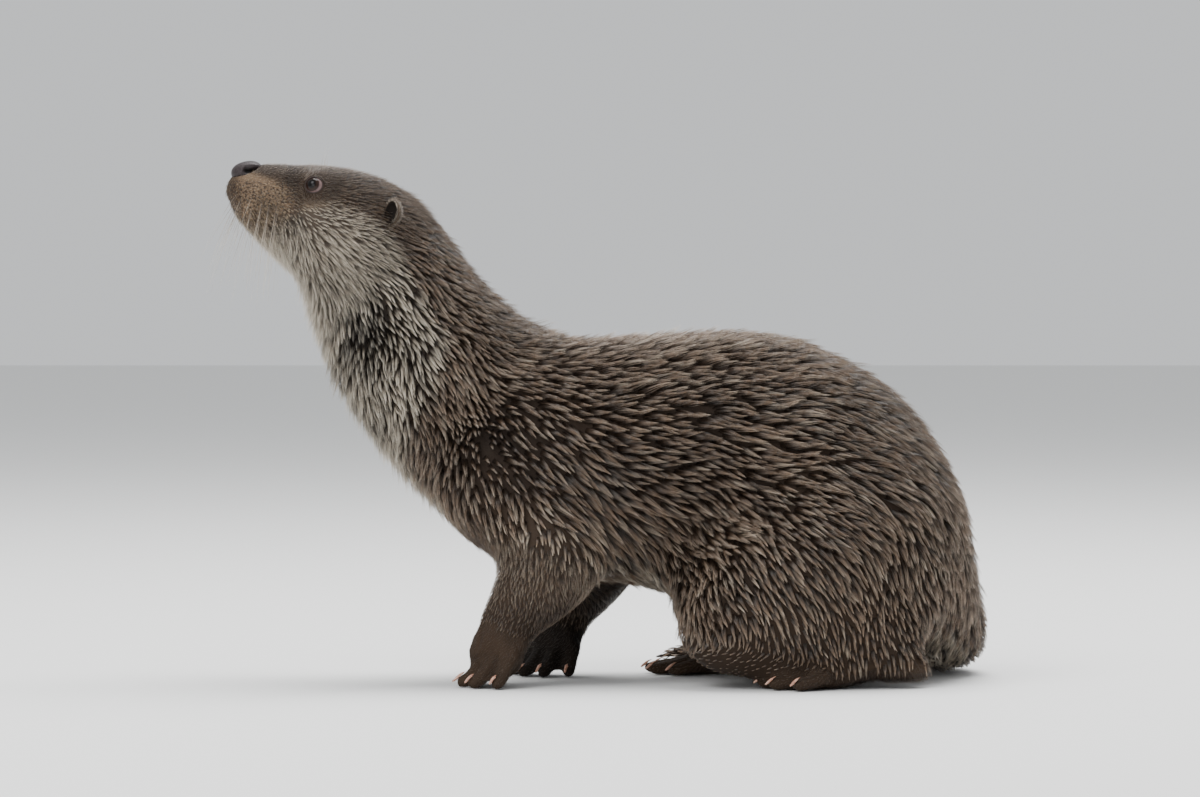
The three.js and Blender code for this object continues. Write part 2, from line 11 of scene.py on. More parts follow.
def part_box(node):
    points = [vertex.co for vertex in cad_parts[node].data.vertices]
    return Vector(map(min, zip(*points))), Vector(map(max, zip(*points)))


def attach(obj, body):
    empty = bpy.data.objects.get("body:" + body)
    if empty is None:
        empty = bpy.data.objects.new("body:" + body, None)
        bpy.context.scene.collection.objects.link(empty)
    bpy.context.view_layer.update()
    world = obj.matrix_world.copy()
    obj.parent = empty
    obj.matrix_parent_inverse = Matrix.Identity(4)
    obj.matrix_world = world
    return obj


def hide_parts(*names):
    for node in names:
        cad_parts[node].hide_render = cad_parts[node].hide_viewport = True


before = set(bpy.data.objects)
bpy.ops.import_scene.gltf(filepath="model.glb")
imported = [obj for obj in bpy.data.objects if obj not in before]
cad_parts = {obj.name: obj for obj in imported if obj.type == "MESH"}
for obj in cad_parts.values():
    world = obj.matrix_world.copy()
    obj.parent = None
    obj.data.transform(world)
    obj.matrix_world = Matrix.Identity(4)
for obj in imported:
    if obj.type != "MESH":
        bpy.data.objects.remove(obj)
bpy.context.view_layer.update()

# ------------------------------------------------------------
# Floor, light and camera
# A plain pale floor and soft daylight from above, seen from the animal's left at its own height. Places on
# the animal are given in millimetres from the point under its heart: x towards the rump, y towards its
# right side, z up.
# ------------------------------------------------------------
MM = 0.001
NOSE_REACH = 246  # the nose leather's middle lies this far ahead of the heart
head_low, head_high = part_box("head")
nose_low, nose_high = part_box("nose")
HEART = Vector(((nose_low.x + nose_high.x) / 2 + NOSE_REACH * MM, (head_low.y + head_high.y) / 2, 0))


def on_body(x, y, z):
    return HEART + Vector((x, y, z)) * MM


def plain_material(name, color, roughness):
    material = bpy.data.materials.new(name)
    material.use_nodes = True
    shader = material.node_tree.nodes["Principled BSDF"]
    shader.inputs["Base Color"].default_value = (*color, 1)
    shader.inputs["Roughness"].default_value = roughness
    return material


FLOOR_SIDE = 14.0
bpy.ops.object.select_all(action="DESELECT")
bpy.ops.mesh.primitive_plane_add(size=FLOOR_SIDE, location=(0, 3, 0))
floor = bpy.context.object
floor.name = "pale_floor"
floor.data.materials.append(plain_material("pale_floor", (0.8, 0.8, 0.79), 0.9))

world = bpy.data.worlds.new("studio")
bpy.context.scene.world = world
world.use_nodes = True
world.node_tree.nodes["Background"].inputs["Color"].default_value = (0.86, 0.88, 0.9, 1)
world.node_tree.nodes["Background"].inputs["Strength"].default_value = 0.86


def soft_light(name, place, aim, side, power):
    light = bpy.data.lights.new(name, "AREA")
    light.shape = "SQUARE"
    light.size = side
    light.energy = power
    lamp = bpy.data.objects.new(name, light)
    bpy.context.scene.collection.objects.link(lamp)
    lamp.location = place
    lamp.rotation_euler = (aim - place).to_track_quat("-Z", "Y").to_euler()


WITHERS = on_body(-30, 0, 200)
soft_light("key", HEART + Vector((-1.3, -1.7, 2.3)), WITHERS, 1.6, 52)
soft_light("sky", HEART + Vector((0.5, 0.6, 2.8)), WITHERS, 2.2, 155)
soft_light("fill", HEART + Vector((-0.9, -2.6, 0.5)), WITHERS, 1.8, 24)

CAMERA_DISTANCE = 4.0
CAMERA_RISE = math.radians(1.5)
FRAME_WIDTH = 0.792  # what the picture spans across the animal's middle
aim = on_body(-13.2, 0, 186.5)
camera = bpy.data.objects.new("camera", bpy.data.cameras.new("camera"))
bpy.context.scene.collection.objects.link(camera)
camera.location = aim + CAMERA_DISTANCE * Vector((0, -math.cos(CAMERA_RISE), math.sin(CAMERA_RISE)))
camera.rotation_euler = (aim - camera.location).to_track_quat("-Z", "Y").to_euler()
camera.data.lens = camera.data.sensor_width * CAMERA_DISTANCE / FRAME_WIDTH
camera.data.clip_end = 60
bpy.context.scene.camera = camera

# ------------------------------------------------------------
# Skin
# One skin covers the whole animal from lips to tail tip. It lies under the coat, deeper where the coat is
# thick. It is made from the flesh's parts, closed over their cuts, drawn smooth and cut finer at the face
# and paws.
# ------------------------------------------------------------
HEAD, NECK, TRUNK, TAIL, FORELEG, HIND_LEG, FOREPAW, HIND_FOOT = range(8)
FLESH = {
    "head": HEAD, "nose": HEAD, "neck": NECK, "trunk": TRUNK, "tail_base": TAIL, "tail_middle": TAIL,
    "tail_tip": TAIL, "left_foreleg": FORELEG, "right_foreleg": FORELEG, "left_hind_leg": HIND_LEG,
    "right_hind_leg": HIND_LEG, "left_forepaw": FOREPAW, "right_forepaw": FOREPAW,
    "left_hind_foot": HIND_FOOT, "right_hind_foot": HIND_FOOT,
}
SKIN_GRAIN = 3.05 * MM
CLOSE_CUTS = 0.55 * MM  # the parts swell by this much, which closes the gaps between them
SAME_PLACE = 0.02 * MM
EYE_RADIUS = 6.6
SOCKET_RADIUS = 6.0  # the skin runs on under the eyeball, just inside it
EYES = {}
for side in ("left", "right"):
    eye_low, eye_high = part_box(side + "_eye")
    EYES[side] = (eye_low + eye_high) / 2


def read(mesh, field="co"):
    """A mesh's vertex places, or its vertex normals."""
    flat = np.empty(len(mesh.vertices) * 3, np.float32)
    if field == "co":
        mesh.attributes["position"].data.foreach_get("vector", flat)
    else:
        mesh.vertices.foreach_get(field, flat)
    return flat.reshape(-1, 3).astype(float)


def write(mesh, places):
    mesh.vertices.foreach_set("co", places.astype(np.float32).ravel())
    mesh.update()


def relax(mesh, values, rounds, share):
    """Evens values out over a mesh: each vertex moves by `share` towards the mean of its neighbours."""
    ends = np.empty(len(mesh.edges) * 2, np.int32)
    mesh.edges.foreach_get("vertices", ends)
    a, b = ends.reshape(-1, 2).T
    count = np.bincount(a, minlength=len(values)) + np.bincount(b, minlength=len(values))
    for _ in range(rounds):
        mean = np.empty_like(values)
        for k in range(values.shape[1]):
            total = np.bincount(a, values[b, k], len(values)) + np.bincount(b, values[a, k], len(values))
            mean[:, k] = total / count
        values = values + (mean - values) * np.reshape(share, (-1, 1))
    return values


def step(value, start, end):
    """0 before start and 1 after end, with a soft ramp between them."""
    t = np.clip((value - start) / (end - start), 0, 1)
    return t * t * (3 - 2 * t)


def in_body(places):
    """Places in body millimetres, from places in metres."""
    return (places - np.array(HEART)) / MM


def gap_to_eyes(at):
    """How far each place lies from the nearer eye's middle (in body millimetres)."""
    return np.min([np.linalg.norm(at - in_body(np.array(c)), axis=1) for c in EYES.values()], axis=0)


def select_only(piece):
    bpy.ops.object.select_all(action="DESELECT")
    piece.select_set(True)
    bpy.context.view_layer.objects.active = piece


flesh = bmesh.new()
flesh_label = []
for node, label in FLESH.items():
    part = bmesh.new()
    part.from_mesh(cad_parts[node].data)
    bmesh.ops.remove_doubles(part, verts=part.verts, dist=SAME_PLACE)
    part.normal_update()
    for vertex in part.verts:
        vertex.co += vertex.normal * CLOSE_CUTS
    closed = bpy.data.meshes.new(node + "_closed")
    part.to_mesh(closed)
    part.free()
    flesh.from_mesh(closed)
    flesh_label += [label] * (len(flesh.faces) - len(flesh_label))
    bpy.data.meshes.remove(closed)
flesh_tree = BVHTree.FromBMesh(flesh)
for centre in EYES.values():
    bmesh.ops.create_icosphere(flesh, subdivisions=3, radius=SOCKET_RADIUS * MM,
                               matrix=Matrix.Translation(centre))
flesh_label = np.array(flesh_label)
skin_mesh = bpy.data.meshes.new("skin")
flesh.to_mesh(skin_mesh)
flesh.free()
skin = bpy.data.objects.new("skin", skin_mesh)
bpy.context.scene.collection.objects.link(skin)
select_only(skin)
remesh = skin.modifiers.new("even", "REMESH")
remesh.mode = "VOXEL"
remesh.voxel_size = SKIN_GRAIN
bpy.ops.object.modifier_apply(modifier="even")


def labels_of(places):
    """Which part of the body each place belongs to."""
    return flesh_label[[flesh_tree.find_nearest(Vector(place))[2] for place in places]]


# Each part is drawn smooth as far as its own build allows: the broad trunk most, the toes least.
SMOOTH_ROUNDS = 30
BLEND_ROUNDS = 6
SMOOTH_SHARE = np.array([0.32, 0.8, 0.95, 0.5, 0.5, 0.8, 0.1, 0.12])
places = read(skin.data)
share = SMOOTH_SHARE[labels_of(places)][:, None]
share = relax(skin.data, share, BLEND_ROUNDS, 0.8)
write(skin.data, relax(skin.data, places, SMOOTH_ROUNDS, share))


def cut_finer(piece, chosen):
    """Cuts each chosen face in four."""
    edit = bmesh.new()
    edit.from_mesh(piece.data)
    edit.faces.ensure_lookup_table()
    edges = {edge for i in np.flatnonzero(chosen) for edge in edit.faces[i].edges}
    edges = sorted(edges, key=lambda edge: edge.index)  # the same order every time
    bmesh.ops.subdivide_edges(edit, edges=edges, cuts=1, use_grid_fill=True)
    edit.to_mesh(piece.data)
    edit.free()


def face_places(mesh):
    flat = np.empty(len(mesh.polygons) * 3, np.float32)
    mesh.polygons.foreach_get("center", flat)
    return flat.reshape(-1, 3).astype(float)


FINE_PARTS = (HEAD, FOREPAW, HIND_FOOT)
ROUND_EYE = 15
MUZZLE_BEHIND, MUZZLE_BELOW = -228, 280
middles = face_places(skin.data)
cut_finer(skin, np.isin(labels_of(middles), FINE_PARTS))
middles = in_body(face_places(skin.data))
on_muzzle = (middles[:, 0] < MUZZLE_BEHIND) & (middles[:, 2] > MUZZLE_BELOW)
cut_finer(skin, (gap_to_eyes(middles) < ROUND_EYE) | on_muzzle)
places = read(skin.data)
region = labels_of(places)

# The paws are drawn back onto their own form, so the toes stand apart again.
PAW_PULL = 0.85
paw = np.flatnonzero(np.isin(region, (FOREPAW, HIND_FOOT)))
for i in paw:
    spot, normal, _, _ = flesh_tree.find_nearest(Vector(places[i]))
    places[i] += (np.array(spot - normal * CLOSE_CUTS) - places[i]) * PAW_PULL
finer = np.isin(region, FINE_PARTS)
places = relax(skin.data, places, 4, np.where(finer, 0.5, 0.1))
write(skin.data, places)

# ------------------------------------------------------------
# Lie of the coat
# How the wet coat lies at places on the left side: where it points, how long it is and how deep it stands,
# all in millimetres. The right side mirrors it, with its legs' places moved to where those legs stand.
# ------------------------------------------------------------
LIE = np.array([
    # x, y, z, pointing x, y, z, length, depth
    (-243, 4, 344, 1, 0, 0, 2.5, 0.5), (-228, 0, 341, 1, 0, 0, 3.5, 0.7),
    (-200, 8, 341, 1, 0, -0.05, 5.5, 1.5), (-180, 0, 338, 1, 0, -0.2, 7, 2.2),
    (-165, 0, 333, 0.85, 0, -0.45, 8.5, 2.8), (-140, 0, 314, 0.75, 0, -0.65, 11, 4),
    (-256, 12, 322, 0.3, 0.4, -0.9, 3, 0.6), (-245, 20, 318, 0.75, 0.1, -0.6, 3.4, 0.7),
    (-238, 22, 330, 0.95, 0.1, -0.2, 2.6, 0.5), (-222, 27, 322, 0.9, 0.1, -0.35, 3.4, 0.7),
    (-252, 6, 306, 0.2, 0, -1, 9, 1.2), (-243, 0, 296, 0.35, 0, -0.93, 12, 2.5),
    (-230, 14, 292, 0.4, 0, -0.9, 13, 2.4), (-235, 24, 306, 0.45, 0, -0.9, 9, 1.4),
    (-215, 28, 300, 0.5, 0, -0.86, 12, 2), (-218, 30, 313, 0.75, 0, -0.65, 5, 0.9),
    (-200, 33, 312, 0.8, 0, -0.6, 6, 1.1), (-200, 24, 336, 1, 0, -0.08, 4, 0.8),
    (-186, 34, 322, 0.97, 0, -0.25, 6, 1.6), (-180, 38, 312, 0.9, 0, -0.45, 8, 2),
    (-185, 40, 290, 0.72, 0, -0.7, 12, 3), (-190, 38, 268, 0.6, 0, -0.8, 14, 4),
    (-205, 0, 258, 0.5, 0, -0.87, 14, 4), (-165, 44, 303, 0.92, 0, -0.38, 7, 2),
    (-160, 46, 285, 0.8, 0, -0.6, 11, 3), (-138, 38, 300, 0.8, 0, -0.6, 9, 3.2),
    (-115, 0, 285, 0.72, 0, -0.7, 14, 5), (-115, 45, 250, 0.62, 0, -0.78, 14, 5),
    (-140, 47, 245, 0.6, 0, -0.8, 13, 4.5), (-165, 45, 235, 0.5, 0, -0.87, 14, 5),
    (-150, 48, 205, 0.35, 0, -0.94, 14, 5), (-185, 0, 195, 0.4, 0, -0.9, 15, 5),
    (-165, 25, 170, 0.3, 0, -0.95, 16, 5), (-140, 0, 135, 0.5, 0, -0.86, 16, 5),
    (-90, 0, 252, 0.75, 0, -0.66, 16, 5.5), (-110, 52, 200, 0.62, 0, -0.78, 15, 5),
    (-105, 56, 165, 0.6, 0, -0.8, 15, 5), (-125, 35, 145, 0, 0, -1, 15, 4.5),
    (-65, 0, 236, 0.92, 0, -0.38, 18, 5.5), (-60, 45, 205, 0.94, 0, -0.3, 17, 5.5),
    (0, 0, 227, 1, 0, 0, 20, 6), (80, 0, 231, 1, 0, 0, 20, 6), (150, 0, 207, 0.85, 0, -0.5, 20, 6),
    (205, 0, 150, 0.5, 0, -0.87, 18, 6), (232, 0, 90, 0.15, 0, -1, 16, 5),
    (0, 60, 190, 1, 0, -0.1, 18, 6), (80, 60, 195, 1, 0, -0.1, 18, 6),
    (20, 72, 145, 0.97, 0, -0.2, 18, 6), (0, 66, 105, 0.85, 0, -0.5, 20, 6),
    (60, 70, 100, 0.85, 0, -0.5, 20, 6), (90, 77, 160, 0.96, 0, -0.26, 18, 6),
    (150, 70, 150, 0.85, 0, -0.52, 18, 6), (-70, 65, 165, 0.72, 0, -0.7, 16, 5),
    (-60, 72, 130, 0.5, 0, -0.86, 14, 4.5), (-30, 75, 120, 0.7, 0, -0.72, 17, 5),
    (-105, 20, 110, 0, 0, -1, 15, 4), (-60, 0, 78, 0.9, 0, -0.3, 16, 4), (20, 0, 66, 1, 0, -0.1, 16, 4),
    (60, 20, 60, 0.9, 0, -0.3, 14, 4), (-45, 85, 90, 0.15, 0, -1, 9, 2),
    (-60, 82, 62, -0.1, 0, -1, 6, 1.2), (-70, 80, 42, -0.35, 0, -0.93, 4, 0.8),
    (-85, 70, 24, -0.65, 0, -0.75, 3.6, 0.6), (-102, 60, 8, -0.85, 0, -0.5, 2.4, 0.4),
    (-15, 80, 82, 0.35, 0, -0.94, 14, 3), (-38, 78, 58, 0.2, 0, -0.97, 8, 1.4),
    (120, 100, 115, 0.78, 0, -0.62, 16, 5.5), (60, 95, 75, 0.55, 0, -0.84, 14, 4.5),
    (110, 105, 75, 0.5, 0, -0.87, 14, 4.5), (120, 100, 35, 0.3, 0, -0.95, 10, 3),
    (190, 80, 80, 0.35, 0, -0.94, 14, 4.5), (170, 80, 40, 0.2, 0, -0.97, 10, 3),
    (110, 80, 12, -0.9, 0, -0.35, 3, 0.5), (80, 70, 6, -0.95, 0, -0.25, 2.2, 0.4),
])
TAIL_LINE = np.array([(204, 24, 47), (218, 58, 29), (218, 98, 24), (203, 138, 20.5), (175, 169, 18),
                      (140, 188, 15.4), (104, 196, 12.7), (72, 193, 10), (46, 183, 7.3), (26, 168, 4.7)],
                     float)
TAIL_LENGTHS, TAIL_DEPTHS = (15, 9), (4.6, 1.6)  # at the tail's root and at its tip
AT_ONCE = 20000  # places worked out in one go
REACH = 14  # how far a place's lie holds before its neighbours' take over
FORE_STRIDE, HIND_STRIDE, HIP_STRIDE = 36, -72, -12  # how far the right legs stand behind the left ones


def unit(vectors):
    return vectors / np.maximum(np.linalg.norm(vectors, axis=-1, keepdims=True), 1e-9)


def lie_at(places, region):
    """Where the coat points, how long it is and how deep, at each place (in body millimetres)."""
    side = np.where(places[:, 1] < 0, -1.0, 1.0)
    plan = np.column_stack([places[:, 0], np.abs(places[:, 1]), places[:, 2]])
    low = 1 - step(places[:, 2], 25, 110)
    right = places[:, 1] > 0
    plan[:, 0] -= np.where(right & np.isin(region, (FORELEG, FOREPAW)), FORE_STRIDE, 0)
    hind = right & np.isin(region, (HIND_LEG, HIND_FOOT))
    plan[:, 0] -= np.where(hind, HIP_STRIDE + (HIND_STRIDE - HIP_STRIDE) * low, 0)
    found = np.empty((len(places), 5))
    for start in range(0, len(plan), AT_ONCE):
        rows = slice(start, start + AT_ONCE)
        gap = ((plan[rows, None] - LIE[None, :, :3]) ** 2).sum(2)
        weight = (gap + REACH ** 2 / 4) ** -2.5
        found[rows] = weight @ LIE[:, 3:] / weight.sum(1)[:, None]
    found[:, 1] *= side
    tail = np.flatnonzero(region == TAIL)
    if len(tail):
        ends = TAIL_LINE[1:] - TAIL_LINE[:-1]
        length = np.linalg.norm(ends, axis=1)
        gap = np.linalg.norm(places[tail, None] - (TAIL_LINE[None, 1:] + TAIL_LINE[None, :-1]) / 2, axis=2)
        weight = (gap ** 2 + 60) ** -3
        weight /= weight.sum(1)[:, None]
        found[tail, :3] = weight @ (ends / length[:, None])
        share = weight @ (np.arange(len(length)) / (len(length) - 1))
        found[tail, 3] = np.interp(share, [0, 1], TAIL_LENGTHS)
        found[tail, 4] = np.interp(share, [0, 1], TAIL_DEPTHS)
    # Round each eye the hair parts and grows away from it, shorter the nearer it stands.
    for centre in EYES.values():
        arm = places - in_body(np.array(centre))
        near = (1 - step(np.linalg.norm(arm, axis=1), 7.5, 13)) * (region == HEAD)
        found[:, :3] = unit(found[:, :3]) + 0.9 * near[:, None] * unit(arm)
        found[:, 3] *= 1 - 0.45 * near
    return found[:, :3], found[:, 3], found[:, 4]


# ------------------------------------------------------------
# Markings
# The coat is dark brown above and pale buff from the chin down the throat and under the belly. The muzzle
# is golden brown with dark whisker roots. Skin and coat carry the same colours, and with them painted light
# and shade: a brighter back, breast, underside, upper arm and near foreleg, and darker shade under the jaw,
# low on the flank, on the far forepaw and between the raised locks.
# ------------------------------------------------------------
CHEEK_EDGE = np.array([  # the throat's upper edge: x and z, from the chin to below the ear
    (-262, 298), (-240, 299), (-212, 312), (-190, 317), (-172, 309), (-157, 302), (-146, 286), (-134, 262)])
NECK_EDGE = np.array([  # the throat's rear edge: z and x, from the breast up to the jaw
    (90, -86), (113, -106), (155, -140), (173, -139), (198, -125), (228, -118), (262, -133), (283, -146)])
JAW = 262  # above this height both edges count
BODY = (NECK, TRUNK, TAIL, FORELEG, HIND_LEG, FOREPAW, HIND_FOOT)
TONE_PATCHES = [
    # middle x and z, spread along x and z (squared), how much brighter, and the parts it shows on
    (-188, 298, 700, 350, 0.4, (HEAD,)),  # cheek
    # Painted shade: the low flank is darkened where it turns away from the light above.
    (66, 114, 2500, 300, -0.26, (TRUNK,)),  # low on the flank
    # Painted shade: the coat under the jaw is darkened where the head's shadow falls.
    (-175, 237, 400, 500, -0.5, (NECK,)),  # under the jaw
    (-165, 188, 300, 900, -0.24, (NECK,)),  # front of the neck
    # Painted light: the breast is brightened as light thrown up from the floor.
    (-116, 140, 500, 500, 0.13, BODY),  # breast
    (-216, 326, 50, 150, -0.4, (HEAD,)),  # before the eye
    (-147, 292, 30, 60, -0.3, (HEAD,)),  # under the ear
]
RAISED = [(-161, 234, 480, 480), (-89, 162, 500, 500)]  # side of the neck and shoulder, given the same way
# Painted shade: how much the raised patches are darkened for the deep shade in the gaps between their standing
# locks.
RAISED_PAINTED_SHADE = 0.4


def soft_patch(at, x, z, spread_x, spread_z):
    """1 in the middle of a patch seen from the side, fading out round it."""
    return np.exp(-((at[:, 0] - x) ** 2 / spread_x + (at[:, 2] - z) ** 2 / spread_z))


def raised_patch(at):
    """Two places, on the side of the neck and on the shoulder, where the clumped tips stand out."""
    return np.maximum(*(soft_patch(at, *patch) for patch in RAISED))


def markings_and_painted_light(places, normals, region):
    """How pale, bright (painted light and shade included), golden and dotted the coat is at each place (in body
    millimetres).
    """
    x, y, z = places.T
    on_head, on_trunk, on_foreleg = region == HEAD, region == TRUNK, region == FORELEG
    # Pale: throat and chest, belly, elbow, the ear's rim and the upper arm, whose paling is partly its own
    # greyer fur and partly painted light thrown up from the floor.
    edge_x = np.interp(z, *NECK_EDGE.T)
    edge_z = np.interp(x, *CHEEK_EDGE.T)
    throat = step(edge_x - x, -7, 9) * np.where(z > JAW, step(edge_z - z, -5, 6), 1.0)
    chest = 1 - 0.55 * step(165 - z, 0, 30)
    throat = np.where(z < 322, throat * chest, 0)
    belly = 0.62 * step(-normals[:, 2], 0.15, 0.7) * step(92 - z, 0, 14) * on_trunk
    pale = np.maximum(throat * np.isin(region, (HEAD, NECK, TRUNK)), belly)
    elbow = soft_patch(places, -6, 82, 130, 130) * (on_foreleg | on_trunk) * (np.abs(y) > 40)
    pale = np.maximum(pale, 0.6 * elbow)
    upper_arm = step(-x, 0, 15) * step(x, -100, -80) * step(z, 50, 65) * step(130 - z, 0, 25)
    upper_arm = upper_arm * (np.abs(y) > 50)
    pale = np.maximum(pale, 0.2 * upper_arm)
    ear_rim = soft_patch(places, -140, 311, 30, 60) * (np.abs(y) > 36)
    pale = np.maximum(pale, 0.5 * ear_rim)
    # Golden: the whisker pads, less towards the lips, and a streak under each eye.
    pad = step(-x, 207, 220) * step(z, 292, 303) * step(338 - z - (x + 240) * 0.35, 0, 7)
    lip = step(-x, 246, 256)
    gold = pad * (1 - 0.55 * lip) * on_head
    under_eye = soft_patch(places, -200, 312, 150, 20) * on_head
    gold = np.maximum(gold, 0.8 * under_eye)
    # Brightness, from place to place: partly the coat's own colour and partly painted light and shade.
    tone = np.full(len(places), 0.5) - 0.2 * lip * on_head
    # The upper arm is brighter, partly for its own greyer fur and partly as painted light thrown up from the
    # floor.
    tone += 0.44 * upper_arm * (on_trunk | on_foreleg)
    # Painted light: the top of the back is brightened as sheen from the sky above.
    tone += 0.36 * step(z, 185, 222) * on_trunk
    # Painted light: the underside is brightened as light thrown up from the floor.
    tone += 0.22 * step(-normals[:, 2], 0, 0.6) * on_trunk
    # The hind legs are a little lighter, and low down brighter still as painted light thrown up from the floor.
    tone += (0.06 + 0.2 * step(70 - z, 0, 25)) * (region == HIND_LEG)
    # Painted light: the near foreleg, on the lit side, is brightened; the head is a little lighter.
    tone += 0.2 * on_foreleg * (y < 0) + 0.08 * on_head
    # Painted shadow: the far forepaw, in the body's shadow, is darkened.
    tone -= 0.6 * (y > 0) * (region == FOREPAW)
    for *patch, brighter, parts in TONE_PATCHES:
        tone += brighter * soft_patch(places, *patch) * np.isin(region, parts)
    # Painted shade: the raised patches are darkened for the shade in the gaps between their locks.
    tone -= RAISED_PAINTED_SHADE * raised_patch(places)
    dots = step(-x, 208, 214) * step(332 - z, 0, 4) * step(z, 296, 304) * on_head
    return np.clip(pale, 0, 1), np.clip(tone, -0.2, 1), np.clip(gold, 0, 1), dots


def set_attribute(mesh, name, values):
    mesh.attributes.new(name, "FLOAT", "POINT").data.foreach_set("value", values.astype(np.float32))


bpy.ops.object.mode_set(mode="EDIT")
bpy.ops.mesh.select_all(action="SELECT")
bpy.ops.uv.smart_project(angle_limit=math.radians(60), island_margin=0.002)
bpy.ops.object.mode_set(mode="OBJECT")
skin.data.uv_layers[0].name = "OFBake"
skin_at = in_body(places)
normals = read(skin.data, "normal")
_, _, depth = lie_at(skin_at, region)
depth *= 0.3 + 0.7 * step(gap_to_eyes(skin_at), 8, 16)  # the coat thins out towards the lids
depth = relax(skin.data, depth[:, None], 8, 0.5)
places = places - normals * depth * MM
write(skin.data, places)

# Lids close over each eyeball in an almond, and the lips meet in a crease under the whisker pads.
LID_REACH = (math.radians(57), math.radians(47), math.radians(50))  # half opening forward, up and down
LID_RADIUS = 7.5
BROW = 0.35  # how much further the upper lid stands out
LID_FALL = 2.2  # how fast the lid falls away from its edge, and past what angle
LID_EDGE = 0.12
LID_SPAN = 13
MOUTH_LINE = np.array([(-258, 0, 319), (-256, 9, 314), (-249, 16, 309), (-240, 20, 305), (-229, 24, 301),
                       (-218, 27, 298)], float)


def eye_frame(side):
    """An eye's middle in body millimetres, with its outward, forward and upward directions."""
    across = -1.0 if side == "left" else 1.0
    outward = np.array([-0.18, 0.96 * across, 0.2])
    outward /= np.linalg.norm(outward)
    forward = np.array([-1.0, 0, 0]) + outward * outward[0]
    forward /= np.linalg.norm(forward)
    upward = np.cross(forward, outward) * across
    return in_body(np.array(EYES[side])), outward, forward, upward * np.sign(upward[2])


def lid_angle(turn):
    """How far from the eye's own direction the lid's edge lies, going round from forward through up."""
    tall = np.where(np.sin(turn) > 0, LID_REACH[1], LID_REACH[2])
    return ((np.cos(turn) / LID_REACH[0]) ** 2 + (np.sin(turn) / tall) ** 2) ** -0.5


skin_at = in_body(places)
for side in EYES:
    centre, outward, forward, upward = eye_frame(side)
    arm = skin_at - centre
    far = np.linalg.norm(arm, axis=1)
    near = np.flatnonzero(far < LID_SPAN)
    arm, far = arm[near], far[near]
    tilt = np.arccos(np.clip(arm @ outward / far, -1, 1))
    past = tilt - lid_angle(np.arctan2(arm @ upward, arm @ forward))
    brow = np.where(arm @ upward > 0, BROW, 0)
    lid = LID_RADIUS + brow - LID_FALL * np.maximum(past - LID_EDGE, 0)
    wanted = np.where(past < 0, SOCKET_RADIUS - 0.2, np.where(tilt < 1.5, np.maximum(far, lid), far))
    skin_at[near] = centre + arm * (wanted / far)[:, None]


def gap_to_line(at, line):
    """How far each place lies from a line of points, its mirror image included."""
    plan = np.column_stack([at[:, 0], np.abs(at[:, 1]), at[:, 2]])
    best = np.full(len(at), 1e9)
    for start, end in zip(line[:-1], line[1:]):
        run = end - start
        share = np.clip((plan - start) @ run / (run @ run), 0, 1)
        best = np.minimum(best, np.linalg.norm(plan - start - share[:, None] * run, axis=1))
    return best


LIP = np.array([(-255, 0, 326), (7, 12, 7), (-0.6, 0, -0.2)])  # the upper lip: middle, half-sizes and swell
lip = np.exp(-np.linalg.norm((skin_at - LIP[0]) / LIP[1], axis=1) ** 2)
skin_at = skin_at + lip[:, None] * LIP[2]
# Grooves part the toes, running from between their tips back towards the knuckles.
KNUCKLES = {"left_forepaw": (-79, -56, 19), "right_forepaw": (-45, 46, 19), "left_hind_foot": (124, -70, 10),
            "right_hind_foot": (52, 66, 10)}
GROOVE_DEPTH, GROOVE_WIDTH = 2.6, 1.7
CLAWS = 5  # on each paw
normals = read(skin.data, "normal")
for paw_name, knuckles in KNUCKLES.items():
    boxes = [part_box(f"{paw_name}_claw_{number}") for number in range(1, CLAWS + 1)]
    tips = in_body(np.array([(low + high) / 2 for low, high in boxes]))
    for front in (tips[:-1] + tips[1:]) / 2:
        back = np.array(knuckles) + (front - tips.mean(0)) * 0.6
        run = (back - front)[:2]
        share = ((skin_at[:, :2] - front[:2]) @ run) / (run @ run)
        off = np.linalg.norm(skin_at[:, :2] - front[:2] - np.clip(share, 0, 0.8)[:, None] * run, axis=1)
        dent = GROOVE_DEPTH * np.exp(-(off / GROOVE_WIDTH) ** 2)
        dent *= step(normals[:, 2], 0, 0.4) * step(0.8 - share, 0, 0.3)
        dent *= np.isin(region, (FOREPAW, HIND_FOOT)) & (skin_at[:, 2] > 3)
        skin_at = skin_at - normals * dent[:, None]
# The skin sinks under the nose leather: middle, half-sizes and by how much.
NOSE_BED = np.array([(-245.6, 0, 336), (11, 12.5, 7.5), (1.5, 0, -4)])
nose_gap = np.linalg.norm((skin_at - NOSE_BED[0]) / NOSE_BED[1], axis=1)
skin_at = skin_at + (1 - step(nose_gap, 0.8, 1.1))[:, None] * NOSE_BED[2]
CREASE_DEPTH, CREASE_WIDTH = 1.5, 1.3
crease = CREASE_DEPTH * np.exp(-(gap_to_line(skin_at, MOUTH_LINE) / CREASE_WIDTH) ** 2)
places = np.array(HEART) + (skin_at - normals * crease[:, None]) * MM
write(skin.data, places)
skin.data.polygons.foreach_set("use_smooth", np.ones(len(skin.data.polygons), bool))
normals = read(skin.data, "normal")
skin_at = in_body(places)
pale, tone, gold, dots = markings_and_painted_light(skin_at, normals, region)
for name, values in (("pale", pale), ("tone", tone), ("gold", gold), ("dots", dots)):
    set_attribute(skin.data, name, values)


def shader_net(name):
    """A new material's node tree, its shader and a helper that adds a node with its settings and inputs."""
    material = bpy.data.materials.new(name)
    material.use_nodes = True
    tree = material.node_tree

    def add(kind, inputs=(), **settings):
        made = tree.nodes.new("ShaderNode" + kind)
        for key, value in settings.items():
            setattr(made, key, value)
        for key, value in dict(inputs).items():
            if isinstance(value, bpy.types.NodeSocket):
                tree.links.new(value, made.inputs[key])
            else:
                made.inputs[key].default_value = value
        return made

    return material, tree, tree.nodes["Principled BSDF"], add


